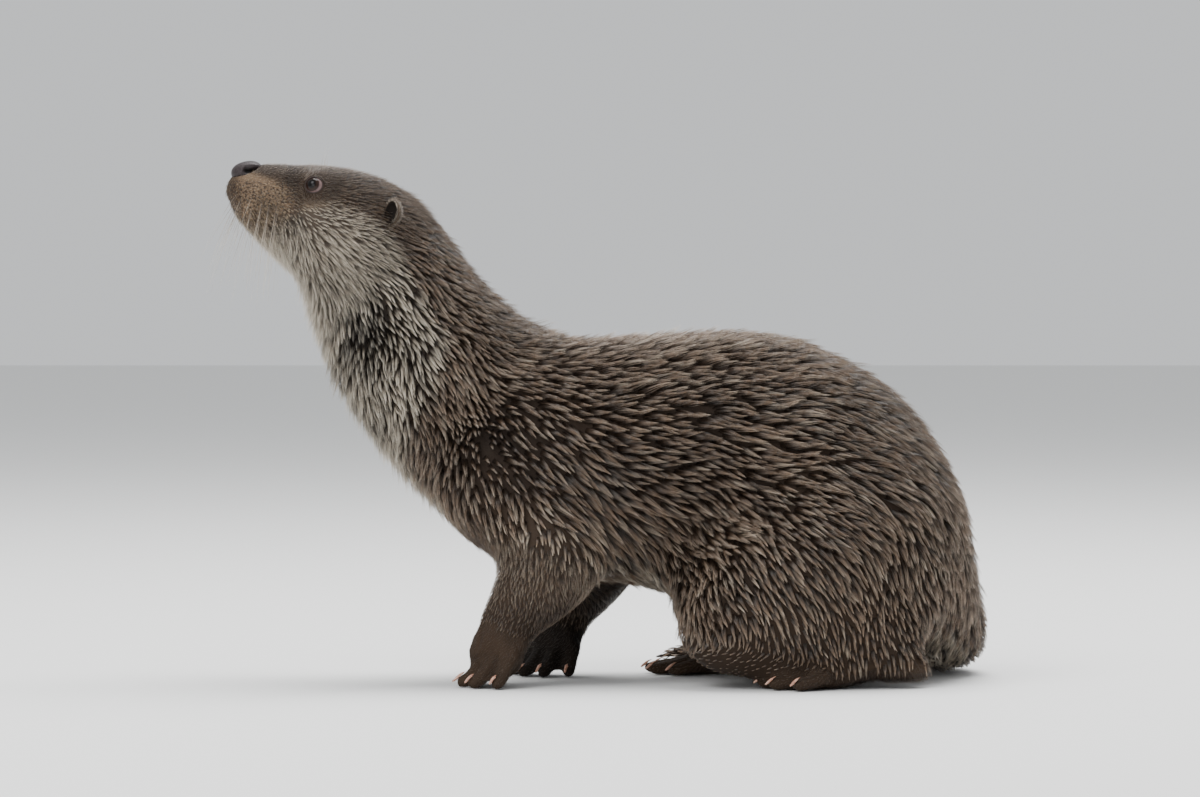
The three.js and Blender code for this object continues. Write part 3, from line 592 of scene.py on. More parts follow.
def ramp(add, factor, stops):
    made = add("ValToRGB", {"Fac": factor})
    band = made.color_ramp
    while len(band.elements) < len(stops):
        band.elements.new(0.5)
    for element, (place, color) in zip(band.elements, stops):
        element.position = place
        element.color = (*color, 1)
    return made.outputs["Color"]


SPOT_COLOR = (0.018, 0.011, 0.008)
SPOT_WANDER = 2.2 * MM


def fur_material(name, dark, pale, gold, spot_size, roughness, bump):
    """Wet fur: each hair runs from a root darkened as painted shade to a lighter tip, partly painted sheen, in
    the dark, pale and golden coats.
    """
    material, tree, shader, add = shader_net(name)
    along = add("Attribute", attribute_name="along").outputs["Fac"]
    colors = [ramp(add, along, stops) for stops in (dark, pale, gold)]
    mixed = colors[0]
    for marking, color in (("gold", colors[2]), ("pale", colors[1])):
        amount = add("Attribute", attribute_name=marking).outputs["Fac"]
        mixed = add("MixRGB", {"Fac": amount, "Color1": mixed, "Color2": color}).outputs["Color"]
    object_at = add("TexCoord").outputs["Object"]
    # Dark whisker roots pepper the golden muzzle.
    ragged = add("TexNoise", {"Vector": object_at, "Scale": 1.6 / spot_size, "Detail": 2}).outputs["Color"]
    pushed = add("VectorMath", {0: ragged, "Scale": SPOT_WANDER}, operation="SCALE").outputs["Vector"]
    spots_at = add("VectorMath", {0: object_at, 1: pushed}, operation="ADD").outputs["Vector"]
    pits = add("TexVoronoi", {"Vector": spots_at, "Scale": 1 / spot_size, "Randomness": 1.0})
    pits = pits.outputs["Distance"]
    pit = add("MapRange", {"Value": pits, "From Min": 0.34, "From Max": 0.6, "To Min": 0.92, "To Max": 0.0})
    dotted = add("Attribute", attribute_name="dots").outputs["Fac"]
    pitted = add("Math", {0: pit.outputs["Result"], 1: dotted}, operation="MULTIPLY").outputs["Value"]
    mixed = add("MixRGB", {"Fac": pitted, "Color1": mixed, "Color2": (*SPOT_COLOR, 1)}).outputs["Color"]
    # Hairs differ in brightness one by one, and the coat changes a little over every few centimetres. The tone
    # also brings in painted light and shade.
    tone = add("Attribute", attribute_name="tone").outputs["Fac"]
    drift = add("TexNoise", {"Vector": object_at, "Scale": 28, "Detail": 2}).outputs["Fac"]
    both = add("Math", {0: tone, 1: drift}, operation="ADD").outputs["Value"]
    light = {"From Min": 0.3, "From Max": 1.55, "To Min": 0.245, "To Max": 1.7}
    light = add("MapRange", {"Value": both, **light}).outputs["Result"]
    bright = add("MixRGB", {"Fac": 1, "Color1": mixed, "Color2": light}, blend_type="MULTIPLY")
    tree.links.new(bright.outputs["Color"], shader.inputs["Base Color"])
    shader.inputs["Roughness"].default_value = roughness
    shader.inputs["Specular IOR Level"].default_value = 0.2 if bump else 0.65
    if bump:
        hair = add("TexNoise", {"Vector": object_at, "Scale": 900, "Detail": 3}).outputs["Fac"]
        raised = add("Bump", {"Height": hair, "Strength": bump, "Distance": 0.0006})
        tree.links.new(raised.outputs["Normal"], shader.inputs["Normal"])
    return material


# Each ramp runs from root to tip. The near-black roots are painted shade in the gaps between locks; the bright
# tips are partly the guard hairs' own lighter colour and partly painted sheen.
DARK_HAIR = [(0.0, (0.008, 0.0045, 0.0025)), (0.4, (0.03, 0.018, 0.0105)), (0.75, (0.14, 0.093, 0.06)),
             (1.0, (0.5, 0.4, 0.31))]
PALE_HAIR = [(0.0, (0.01, 0.007, 0.005)), (0.35, (0.06, 0.046, 0.034)), (0.7, (0.42, 0.365, 0.285)),
             (1.0, (0.92, 0.85, 0.72))]
GOLD_HAIR = [(0.0, (0.03, 0.017, 0.01)), (0.4, (0.15, 0.1, 0.062)), (0.75, (0.44, 0.34, 0.22)),
             (1.0, (0.82, 0.68, 0.48))]
WHISKER_PITCH = 1.6 * MM
skin.data.materials.append(fur_material("skin", DARK_HAIR, PALE_HAIR, GOLD_HAIR, WHISKER_PITCH, 0.8, 0.5))
# The skin takes the hairs' root colours, kept dark as painted shade in the gaps between locks; it is lighter on
# the golden muzzle and the paws.
set_attribute(skin.data, "along", 0.16 + 0.18 * gold + 0.2 * np.isin(region, (FOREPAW, HIND_FOOT)))
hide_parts(*FLESH)
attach(skin, "root")

# ------------------------------------------------------------
# Eyes
# A dark brown iris looks forward and up out of each eye, with a crescent of pinkish white behind it. The
# ball is glossy and wet, and a thin dark rim of bare lid runs round the opening.
# ------------------------------------------------------------
GAZE = (-0.35, 0.9, 0.26)
CORNEA_BULGE = 0.5 * MM
CORNEA_SPREAD = math.radians(32)
LID_RIM = 0.5
RIM_OUT = 0.45  # how far the rim's middle stands off the ball


def tube(rows, points, radii, sides, ring=False):
    """Adds a round tube through the points to rows of vertices and faces; a ring joins up with itself."""
    points = np.asarray(points, float)
    ahead = np.roll(points, -1, 0) - np.roll(points, 1, 0) if ring else np.gradient(points, axis=0)
    ahead = unit(ahead)
    guide = np.array([0.31, 0.17, 0.93])
    first = unit(np.cross(ahead, guide))
    second = np.cross(ahead, first)
    start = len(rows[0])
    for at, a, b, radius in zip(points, first, second, radii):
        for k in range(sides):
            turn = 2 * math.pi * k / sides
            rows[0].append(at + (a * math.cos(turn) + b * math.sin(turn)) * radius)
    count = len(points)
    for i in range(count if ring else count - 1):
        for k in range(sides):
            a, b = start + i * sides, start + (i + 1) % count * sides
            rows[1].append((a + k, a + (k + 1) % sides, b + (k + 1) % sides, b + k))
    if not ring:
        rows[1].append(tuple(start + k for k in reversed(range(sides))))
        rows[1].append(tuple(start + (count - 1) * sides + k for k in range(sides)))


def from_rows(name, rows, material):
    """A smooth piece from rows of vertices (in body millimetres) and faces."""
    mesh = bpy.data.meshes.new(name)
    mesh.from_pydata([tuple(HEART + Vector(at) * MM) for at in rows[0]], [], rows[1])
    mesh.update()
    mesh.polygons.foreach_set("use_smooth", np.ones(len(mesh.polygons), bool))
    mesh.materials.append(material)
    piece = bpy.data.objects.new(name, mesh)
    bpy.context.scene.collection.objects.link(piece)
    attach(piece, "root")
    return piece


eye_material, tree, shader, add = shader_net("eye")
gaze = add("Attribute", attribute_name="gaze").outputs["Fac"]
iris = ramp(add, gaze, [  # pupil, iris, its dark edge and the white, going out from the middle
    (0.0, (0.002, 0.002, 0.002)), (0.24, (0.003, 0.002, 0.002)), (0.3, (0.014, 0.007, 0.005)),
    (0.42, (0.024, 0.012, 0.008)), (0.47, (0.008, 0.004, 0.003)), (0.52, (0.13, 0.082, 0.079)),
    (0.62, (0.2, 0.138, 0.132)), (1.0, (0.07, 0.03, 0.024))])
object_at = add("TexCoord").outputs["Object"]
veins = add("TexNoise", {"Vector": object_at, "Scale": 900, "Detail": 3}).outputs["Fac"]
vein = add("MapRange", {"Value": veins, "From Min": 0.35, "From Max": 0.65, "To Min": 0.8, "To Max": 1.1})
wet = add("MixRGB", {"Fac": 1, "Color1": iris, "Color2": vein.outputs["Result"]}, blend_type="MULTIPLY")
tree.links.new(wet.outputs["Color"], shader.inputs["Base Color"])
shader.inputs["Roughness"].default_value = 0.04
shader.inputs["Specular IOR Level"].default_value = 0.2

rim_material, tree, shader, add = shader_net("lid_rim")
damp = add("TexNoise", {"Vector": add("TexCoord").outputs["Object"], "Scale": 1400}).outputs["Fac"]
tree.links.new(ramp(add, damp, [(0.3, (0.012, 0.008, 0.007)), (0.7, (0.04, 0.026, 0.022))]),
               shader.inputs["Base Color"])
shader.inputs["Roughness"].default_value = 0.5
shader.inputs["Specular IOR Level"].default_value = 0.25

for side in EYES:
    centre, outward, forward, upward = eye_frame(side)
    bpy.ops.mesh.primitive_uv_sphere_add(segments=64, ring_count=40, radius=EYE_RADIUS * MM)
    eye = bpy.context.object
    eye.name = side + "_eyeball"
    bpy.ops.object.shade_smooth()
    ball = read(eye.data)
    gaze_way = np.array([GAZE[0], GAZE[1] * np.sign(outward[1]), GAZE[2]])
    angle = np.arccos(np.clip(unit(ball) @ unit(gaze_way), -1, 1))
    bulge = CORNEA_BULGE * np.exp(-(angle / CORNEA_SPREAD) ** 2)
    write(eye.data, ball + unit(ball) * bulge[:, None] + np.array(EYES[side]))
    set_attribute(eye.data, "gaze", angle / (math.pi / 2))
    eye.data.materials.append(eye_material)
    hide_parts(side + "_eye")
    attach(eye, "root")
    turns = np.linspace(0, 2 * math.pi, 56, endpoint=False)
    reach = lid_angle(turns) + math.radians(1)
    around = np.cos(turns)[:, None] * forward + np.sin(turns)[:, None] * upward
    line = np.cos(reach)[:, None] * outward + np.sin(reach)[:, None] * around
    line = centre + (EYE_RADIUS + RIM_OUT) * line
    rows = ([], [])
    tube(rows, line, np.full(len(line), LID_RIM), 8, ring=True)
    rim = from_rows(side + "_lid_rim", rows, rim_material)

# ------------------------------------------------------------
# Nose
# A pad of bare dark leather, pebbled and a little glossy, with a nostril opening forward on each side and
# running back as a slit. A shallow groove parts it in the middle.
# ------------------------------------------------------------
NOSE_AT = np.array([-246, 0, 336])
NOSE_HALF = np.array([10.5, 10.8, 7.0])
NOSE_TILT = math.radians(12)
NOSE_SQUARE = 0.9  # below 1 the pad is squarer than an egg
NOSTRIL = np.array([(-245, 0, 336.9), (-242.5, 0, 336.8), (-240, 0, 336.5)])
NOSTRIL_SPAN, NOSTRIL_HALF = (-246, -239), (2.9, 2.1)  # it narrows from front to rear
NOSTRIL_DEPTH = 3.2
WING_OUT, WING_SWELL, WING_WIDTH = 3.6, 0.8, 1.2  # the raised edge round it
PARTING_DEPTH, PARTING_WIDTH = 0.7, 0.8
bpy.ops.mesh.primitive_uv_sphere_add(segments=96, ring_count=64, radius=1)
nose = bpy.context.object
nose.name = "nose_pad"
bpy.ops.object.shade_smooth()
form = read(nose.data)
form = np.sign(form) * np.abs(form) ** NOSE_SQUARE * NOSE_HALF
cos, sin = math.cos(NOSE_TILT), math.sin(NOSE_TILT)
lean = np.column_stack([form[:, 0] * cos - form[:, 2] * sin, form[:, 1], form[:, 0] * sin + form[:, 2] * cos])
form = NOSE_AT + lean
out = unit(lean / NOSE_HALF ** 2)
hole = gap_to_line(form * [1, 0, 1], NOSTRIL)  # as seen from the side
off_middle = step(np.abs(form[:, 1]), 3, 5.5)
inside = np.exp(-(hole / np.interp(form[:, 0], NOSTRIL_SPAN, NOSTRIL_HALF)) ** 2) * off_middle
parting = PARTING_DEPTH * np.exp(-(form[:, 1] / PARTING_WIDTH) ** 2) * step(-form[:, 0], 246, 252)
wing = WING_SWELL * np.exp(-((hole - WING_OUT) / WING_WIDTH) ** 2) * off_middle
form = form + out * (wing - parting - NOSTRIL_DEPTH * inside)[:, None]
write(nose.data, np.array(HEART) + form * MM)
set_attribute(nose.data, "nostril", inside)
leather, tree, shader, add = shader_net("nose_leather")
object_at = add("TexCoord").outputs["Object"]
# Painted shade: the grooves between the leather's pebbles are darkened, on top of its own dark colour.
pebble = add("TexVoronoi", {"Vector": object_at, "Scale": 1300}).outputs["Distance"]
leather_and_groove_shade = ramp(add, pebble, [(0.1, (0.042, 0.029, 0.03)), (0.6, (0.018, 0.012, 0.0125))])
# Painted shade: the nostrils' hollows are painted near black.
hollow = add("Attribute", attribute_name="nostril").outputs["Fac"]
hollow = add("MapRange", {"Value": hollow, "From Min": 0.25, "From Max": 0.7}).outputs["Result"]
tint = add("MixRGB", {"Fac": hollow, "Color1": leather_and_groove_shade, "Color2": (0.004, 0.003, 0.003, 1)})
tree.links.new(tint.outputs["Color"], shader.inputs["Base Color"])
grain = add("Bump", {"Height": pebble, "Strength": 0.5, "Distance": 0.0004}, invert=True)
tree.links.new(grain.outputs["Normal"], shader.inputs["Normal"])
shader.inputs["Roughness"].default_value = 0.44
shader.inputs["Specular IOR Level"].default_value = 0.3
nose.data.materials.append(leather)
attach(nose, "root")

# ------------------------------------------------------------
# Ears
# Each ear is a small round flap of thin skin, cupped forwards, dark inside and set low behind the cheek.
# Short hair runs up its back and stands past the rim as a pale edge.
# ------------------------------------------------------------
EAR_HALF = (7.8, 6.4, 5.0)  # up, sideways and front to back
EAR_WALL = 1.5
EAR_LIFT = 1.2
ear_shells = {}


def in_order(mesh):
    """Lists a form's vertices and faces by where they are, so that its hair grows the same every time."""
    at = read(mesh)
    order = np.lexsort(at.T)
    rank = np.argsort(order)
    faces = []
    for polygon in mesh.polygons:
        around = [int(rank[i]) for i in polygon.vertices]
        first = around.index(min(around))
        faces.append(around[first:] + around[:first])
    mesh.clear_geometry()
    mesh.from_pydata([tuple(place) for place in at[order]], [], sorted(faces))
    mesh.update()


for side, across in (("left", -1), ("right", 1)):
    ear_low, ear_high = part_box(side + "_ear")
    root = in_body(np.array((ear_low + ear_high) / 2))
    ahead = unit(np.array([-0.72, 0.68 * across, 0.12]))
    rise = np.array([0.3, 0.12 * across, 0.95])
    upward = unit(rise - ahead * (rise @ ahead))
    sideways = np.cross(ahead, upward)
    middle = root + np.array([1.5, 0.6 * across, EAR_LIFT])
    bpy.ops.mesh.primitive_uv_sphere_add(segments=48, ring_count=32, radius=1)
    ear = bpy.context.object
    ear.name = side + "_ear_flap"
    in_order(ear.data)
    bpy.ops.object.mode_set(mode="EDIT")
    bpy.ops.mesh.select_all(action="SELECT")
    bpy.ops.mesh.bisect(plane_co=(0, 0, 0), plane_no=(0, 0, 1), clear_outer=True)
    bpy.ops.object.mode_set(mode="OBJECT")
    cup = read(ear.data)
    cup = middle + (cup[:, :1] * upward * EAR_HALF[0] + cup[:, 1:2] * sideways * EAR_HALF[1]
                    + cup[:, 2:] * ahead * EAR_HALF[2])
    write(ear.data, np.array(HEART) + cup * MM)
    wall = ear.modifiers.new("wall", "SOLIDIFY")
    wall.thickness = EAR_WALL * MM
    wall.offset = 0
    bpy.ops.object.modifier_apply(modifier="wall")
    bpy.ops.object.mode_set(mode="EDIT")
    bpy.ops.mesh.select_all(action="SELECT")
    bpy.ops.mesh.normals_make_consistent(inside=False)
    bpy.ops.uv.smart_project(angle_limit=math.radians(60), island_margin=0.01)
    bpy.ops.object.mode_set(mode="OBJECT")
    ear.data.uv_layers[0].name = "OFBake"
    bpy.ops.object.shade_smooth()
    shell = in_body(read(ear.data)) - middle
    shell = np.column_stack([shell @ upward, shell @ sideways, shell @ ahead]) / EAR_HALF
    inner = step(-np.linalg.norm(shell, axis=1), -1.0, -0.93)
    ear_shells[side] = (ear, middle, ahead, inner)
    for name, values in (("pale", 0.25 * (1 - inner)), ("tone", 0.5 - 0.5 * inner), ("gold", inner * 0),
                         ("dots", inner * 0), ("along", 0.45 - 0.35 * inner)):
        set_attribute(ear.data, name, values)
    ear.data.materials.append(skin.data.materials[0])
    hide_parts(side + "_ear")
    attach(ear, "root")

# ------------------------------------------------------------
# Claws
# Short blunt claws of pinkish horn, five to a paw, streaked lighter and darker and worn smooth at the tip.
# ------------------------------------------------------------
horn, tree, shader, add = shader_net("claw")
object_at = add("TexCoord").outputs["Object"]
streak = add("TexNoise", {"Vector": object_at, "Scale": 700, "Detail": 2}).outputs["Fac"]
streak = ramp(add, streak, [(0.3, (0.33, 0.15, 0.105)), (0.5, (0.5, 0.27, 0.19)), (0.72, (0.62, 0.42, 0.32))])
tree.links.new(streak, shader.inputs["Base Color"])
shader.inputs["Roughness"].default_value = 0.3
shader.inputs["Subsurface Weight"].default_value = 0.15
shader.inputs["Subsurface Radius"].default_value = (0.002, 0.001, 0.0007)
CLAW_ROOT = 0.4  # the share of its bare length that each claw runs on inside its toe
CLAW_WEAR = 0.2  # the share worn off its tip
for paw_name in ("left_forepaw", "right_forepaw", "left_hind_foot", "right_hind_foot"):
    edit = bmesh.new()
    nodes = [f"{paw_name}_claw_{number}" for number in range(1, CLAWS + 1)]
    paw_low, paw_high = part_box(paw_name)
    paw_middle = (paw_low + paw_high) / 2
    for node in nodes:
        count = len(edit.verts)
        edit.from_mesh(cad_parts[node].data)
        edit.verts.ensure_lookup_table()
        own = edit.verts[count:]
        tip = max((vertex.co.copy() for vertex in own), key=lambda co: (co - paw_middle).length)
        root_way = (sum((vertex.co for vertex in own), Vector()) / len(own) - tip).normalized()
        shown = max((vertex.co - tip).dot(root_way) for vertex in own)
        for vertex in own:
            vertex.co += root_way * ((vertex.co - tip).dot(root_way) * CLAW_ROOT + shown * CLAW_WEAR)
    bmesh.ops.remove_doubles(edit, verts=edit.verts, dist=SAME_PLACE)
    mesh = bpy.data.meshes.new(paw_name + "_claws")
    edit.to_mesh(mesh)
    edit.free()
    claws = bpy.data.objects.new(paw_name + "_claws", mesh)
    bpy.context.scene.collection.objects.link(claws)
    select_only(claws)
    round_off = claws.modifiers.new("round", "SUBSURF")
    round_off.levels = round_off.render_levels = 2
    bpy.ops.object.modifier_apply(modifier="round")
    bpy.ops.object.shade_smooth()
    mesh.materials.append(horn)
    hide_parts(*nodes)
    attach(claws, "root")

# ------------------------------------------------------------
# Coat
# Guard hairs clumped by water into pointed locks, each a few strands that leave the skin side by side and
# meet at the tip. They lie back along the body, overlap like tiles and stand a little off it at the tips.
# ------------------------------------------------------------
HAIR_SEED = 41
luck = np.random.default_rng(HAIR_SEED)
noise.seed_set(HAIR_SEED)


def survey(mesh):
    """What a coat needs to know about the surface it grows on."""
    mesh.calc_loop_triangles()
    found = {"places": read(mesh), "normals": read(mesh, "normal")}
    for key, field in (("corner", "vertices"), ("loop", "loops")):
        flat = np.empty(len(mesh.loop_triangles) * 3, np.int32)
        mesh.loop_triangles.foreach_get(field, flat)
        found[key] = flat.reshape(-1, 3)
    flat = np.empty(len(mesh.loops) * 2, np.float32)
    mesh.uv_layers[0].data.foreach_get("uv", flat)
    found["uv"] = flat.reshape(-1, 2).astype(float)
    found["tree"] = BVHTree.FromPolygons([tuple(place) for place in found["places"]],
                                         [tuple(polygon.vertices) for polygon in mesh.polygons])
    return found


skin_ground = survey(skin.data)
skin_tree = skin_ground["tree"]
corner = skin_ground["corner"]
face_region = np.array([np.bincount(three, minlength=8).argmax() for three in region[corner]])
ROOTS_TRIED = 3.2  # how many places are tried for every one that fits
PATCH = 0.003  # how much of the skin's unwrap one lock takes its colours from
MOST_TRIANGLES = 190000
ABOVE_FLOOR = 0.3 * MM


def scatter(ground, chosen, pitch):
    """Roots about `pitch` millimetres apart over the chosen triangles: places, normals and unwrap places."""
    a, b, c = (ground["places"][ground["corner"][chosen, k]] for k in range(3))
    area = np.linalg.norm(np.cross(b - a, c - a), axis=1) / 2
    count = int(area.sum() / (pitch * MM) ** 2 * ROOTS_TRIED)
    pick = luck.choice(len(chosen), count, p=area / area.sum())
    u, v = luck.random((2, count))
    turn = u + v > 1
    u, v = np.where(turn, 1 - u, u), np.where(turn, 1 - v, v)
    share = np.column_stack([1 - u - v, u, v])

    def mix(table, index):
        return (ground[table][ground[index][chosen[pick]]] * share[:, :, None]).sum(1)

    at = mix("places", "corner")
    tree = KDTree(count)
    for i, place in enumerate(at):
        tree.insert(place, i)
    tree.balance()
    kept = np.ones(count, bool)
    for i in range(count):
        if kept[i]:
            for _, j, _ in tree.find_range(at[i], pitch * 0.8 * MM):
                if j > i:
                    kept[j] = False
    return at[kept], mix("normals", "corner")[kept], mix("uv", "loop")[kept]


def grow(name, chosen, pitch, strands, rings, hair, wide, lift, ground=skin_ground, lie=lie_at, fair=0,
         tips=1.0):
    """Covers the chosen skin with locks and splits them, front to back, into pieces of a size to handle.

    Roots stand about `pitch` apart. A lock has so many `strands`, each `hair` thick and in `rings` lengths, and
    is `wide` times its length across at the root. It stands off the body by about `lift` times its length.
    `fair` is the least it is paled by, and `tips` how far up its colours its hairs reach.
    """
    at, up, uv = scatter(ground, chosen, pitch)
    order = np.argsort(at[:, 0])
    at, up, uv = at[order], unit(up[order]), uv[order]
    where = labels_of(at)
    body_at = in_body(at)
    way, length, depth = lie(body_at, where)
    # The lie wanders a little, in swirls some centimetres across and from lock to lock.
    swirl = np.array([noise.noise_vector(Vector(place * 38)) for place in at])
    way = unit(way) + 0.3 * swirl + luck.normal(0, 0.1, at.shape)
    way = unit(way - up * (way * up).sum(1)[:, None])
    length = length * luck.uniform(0.75, 1.2, len(at))
    pale, tone, gold, dots = markings_and_painted_light(body_at, up, where)
    pale = np.clip(np.maximum(pale, fair) + luck.normal(0, 0.14, len(at)), 0, 1)
    patch = raised_patch(body_at)
    length = length * (1 - 0.3 * patch)
    # The front of the throat stands off more, and here and there a lock strays.
    front = step(-up[:, 0], 0.3, 0.8) * np.isin(where, (HEAD, NECK)) * step(300 - body_at[:, 2], 0, 40)
    stray = 0.14 * (luck.random(len(at)) < 0.12) * (lift > 0.05)
    stand = (lift + 0.09 * front) * luck.uniform(0.0, 2.0, len(at)) + stray + 0.5 * patch
    reach = np.linspace(0, 1, rings + 1)
    centre = np.empty((len(at), rings + 1, 3))
    out = np.empty_like(centre)
    for i in range(len(at)):
        for k, s in enumerate(reach):
            goal = Vector(at[i] + way[i] * length[i] * s * MM)
            spot, normal, _, _ = ground["tree"].find_nearest(goal)
            centre[i, k] = spot
            out[i, k] = normal
    out[:, 0] = up
    rise = np.interp(reach, [0, 0.33, 0.66, 1], [0, 0.55, 0.85, 1.0])
    height = depth[:, None] * rise * luck.uniform(0.5, 0.85, (len(at), 1))
    height += (stand * length)[:, None] * reach ** 2
    height[:, 0] = -0.5  # the roots start just under the skin
    centre += out * height[:, :, None] * MM
    along = unit(np.gradient(centre, axis=1))
    across = unit(np.cross(out, along))
    width = wide * length * luck.uniform(0.8, 1.2, len(at))
    lane = (np.arange(strands) + 0.5) / strands * 2 - 1
    lane = lane + luck.uniform(-0.5, 0.5, (len(at), strands)) / strands
    shift = luck.uniform(-0.16, 0.16, (len(at), strands)) * length[:, None]
    bump = (luck.uniform(-0.12, 0.15, (len(at), strands)) + 0.4 * (1 - lane ** 2)) * depth[:, None]
    close = 1 - 0.9 * reach ** 1.5
    spread = lane[:, :, None] * width[:, None, None] / 2 * close
    core = centre[:, None] + across[:, None] * (spread * MM)[..., None]
    core += along[:, None] * (shift[:, :, None] * (1 - 0.5 * reach) * MM)[..., None]
    core += out[:, None] * (bump[:, :, None] * np.minimum(1, reach * 2) * MM)[..., None]
    half = hair * luck.uniform(0.75, 1.25, (len(at), strands)) / 2
    taper = np.interp(reach[:-1], [0, 0.5, 1], [1, 0.9, 0.4])
    size = half[:, :, None] * taper * MM
    body = core[:, :, :-1]
    side = across[:, None, :-1] * size[..., None]
    crest = out[:, None, :-1] * size[..., None] * 0.9
    ring = np.stack([body - side, body + side, body + crest], axis=3)
    tip = core[:, :, -1:]
    per = rings * 3 + 1
    vertices = np.concatenate([ring.reshape(len(at), strands, rings * 3, 3), tip], axis=2).reshape(-1, 3)
    vertices[:, 2] = np.maximum(vertices[:, 2], ABOVE_FLOOR)
    quads = [(k * 3 + a, k * 3 + b, k * 3 + 3 + b, k * 3 + 3 + a)
             for k in range(rings - 1) for a, b in ((0, 1), (1, 2), (2, 0))]
    last = (rings - 1) * 3
    threes = [(last + a, last + b, per - 1) for a, b in ((0, 1), (1, 2), (2, 0))] + [(0, 2, 1)]
    corners = np.array([i for face in quads + threes for i in face])
    sides = np.array([4] * len(quads) + [3] * len(threes))
    triangles = len(quads) * 2 + len(threes)
    stop = np.append(np.repeat(reach[:-1], 3), 1)
    tile = np.column_stack([np.append(np.tile([0, 1, 0.5], rings), 0.5), stop]) * PATCH
    hair_tone = (tone + luck.normal(0, 0.15, len(at)))[:, None] + luck.normal(0, 0.13, (len(at), strands))
    # Painted shade: the strands at a lock's edges are darkened, where it tucks under its neighbours.
    hair_tone = (hair_tone - 0.22 * lane ** 2 + 0.1).ravel()
    pieces = math.ceil(len(at) * strands * triangles / MOST_TRIANGLES)
    for number, locks in enumerate(np.array_split(np.arange(len(at)), pieces)):
        rows = (locks[:, None] * strands + np.arange(strands)).ravel()
        points = (rows[:, None] * per + np.arange(per)).ravel()
        mesh = bpy.data.meshes.new(f"{name}_coat_{number + 1}")
        mesh.vertices.add(len(points))
        mesh.vertices.foreach_set("co", vertices[points].astype(np.float32).ravel())
        index = (np.arange(len(rows))[:, None] * per + corners).ravel()
        mesh.loops.add(len(index))
        mesh.loops.foreach_set("vertex_index", index.astype(np.int32))
        total = np.tile(sides, len(rows))
        mesh.polygons.add(len(total))
        mesh.polygons.foreach_set("loop_start", (np.cumsum(total) - total).astype(np.int32))
        mesh.polygons.foreach_set("loop_total", total.astype(np.int32))
        mesh.update(calc_edges=True)
        mesh.polygons.foreach_set("use_smooth", np.ones(len(total), bool))
        layer = mesh.uv_layers.new(name="OFBake")
        own = np.repeat(uv[locks], strands, axis=0)[:, None] + tile[corners][None]
        layer.data.foreach_set("uv", np.clip(own, 0, 1).astype(np.float32).ravel())
        set_attribute(mesh, "along", np.tile(stop * tips, len(rows)))
        set_attribute(mesh, "tone", np.repeat(hair_tone[rows], per))
        for marking, values in (("pale", pale), ("gold", gold), ("dots", dots)):
            set_attribute(mesh, marking, np.repeat(values[locks], strands * per))
        mesh.materials.append(hair_material)
        coat = bpy.data.objects.new(mesh.name, mesh)
        bpy.context.scene.collection.objects.link(coat)
        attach(coat, "root")


hair_material = fur_material("hair", DARK_HAIR, PALE_HAIR, GOLD_HAIR, WHISKER_PITCH, 0.33, 0)

LID_HAIRLESS = 7.4
face_middle = in_body(places[corner].mean(1))
on_head = face_region == HEAD
eye_gap = gap_to_eyes(face_middle)
leather = np.linalg.norm((face_middle - NOSE_BED[0]) / NOSE_BED[1], axis=1) < 1
bare = (eye_gap < LID_HAIRLESS) | leather
muzzle = on_head & (face_middle[:, 0] < -222)
eye_ring = on_head & (eye_gap < ROUND_EYE) & ~bare & ~muzzle
brow = on_head & (face_middle[:, 0] < -185) & (face_middle[:, 2] > 317) & ~(muzzle | bare | eye_ring)
head_rest = on_head & ~(muzzle | bare | eye_ring | brow)
grow("muzzle", np.flatnonzero(muzzle & ~bare), 1.15, 4, 1, 0.22, 0.32, 0.13)
grow("eye_ring", np.flatnonzero(eye_ring), 1.0, 4, 1, 0.17, 0.32, 0.03, tips=0.9)
grow("brow", np.flatnonzero(brow), 1.4, 6, 1, 0.2, 0.32, 0.06, tips=0.92)
grow("head", np.flatnonzero(head_rest), 1.9, 9, 1, 0.23, 0.27, 0.08)
grow("neck", np.flatnonzero(face_region == NECK), 3.1, 9, 2, 0.38, 0.25, 0.12)
grow("trunk", np.flatnonzero(face_region == TRUNK), 4.8, 12, 2, 0.45, 0.27, 0.06)
grow("tail", np.flatnonzero(face_region == TAIL), 3.6, 5, 2, 0.55, 0.27, 0.04)
grow("foreleg", np.flatnonzero(face_region == FORELEG), 2.2, 4, 2, 0.27, 0.3, 0.02, tips=0.88)
grow("hind_leg", np.flatnonzero(face_region == HIND_LEG), 4.2, 9, 2, 0.47, 0.27, 0.06)
grow("paw", np.flatnonzero(np.isin(face_region, (FOREPAW, HIND_FOOT))), 1.5, 3, 1, 0.22, 0.4, 0.0,
     tips=0.76)


def beard(at, where):
    """Long pale hairs hang from the lips and curve back over the chin and cheeks."""
    down = np.column_stack([0.2 + (at[:, 0] + 250) / 90, 0.15 * np.sign(at[:, 1]), -np.ones(len(at))])
    return down, luck.uniform(12, 26, len(at)), np.full(len(at), 2.4)


lips = on_head & (np.abs(face_middle[:, 0] + 230) < 24) & (np.abs(face_middle[:, 2] - 298) < 9)
grow("beard", np.flatnonzero(lips), 2.4, 2, 3, 0.17, 0.1, 0.12, lie=beard, fair=0.7)
for side, (ear, middle, ahead, inner) in ear_shells.items():
    ear_ground = survey(ear.data)
    ear_face = in_body(ear_ground["places"][ear_ground["corner"]].mean(1)) - middle
    outside = (inner[ear_ground["corner"]].mean(1) < 0.5) & (ear_face[:, 0] > -1.5)

    def up_the_flap(at, where):
        """Hair on the flap's back runs from its root out to the rim."""
        way = np.tile(ahead * 0.8 + [0.5, 0, 0.35], (len(at), 1))
        return way, np.full(len(at), 3.2), np.full(len(at), 0.5)

    grow(side + "_ear", np.flatnonzero(outside), 0.9, 4, 1, 0.18, 0.4, 0.3, ear_ground, up_the_flap,
         fair=0.35)

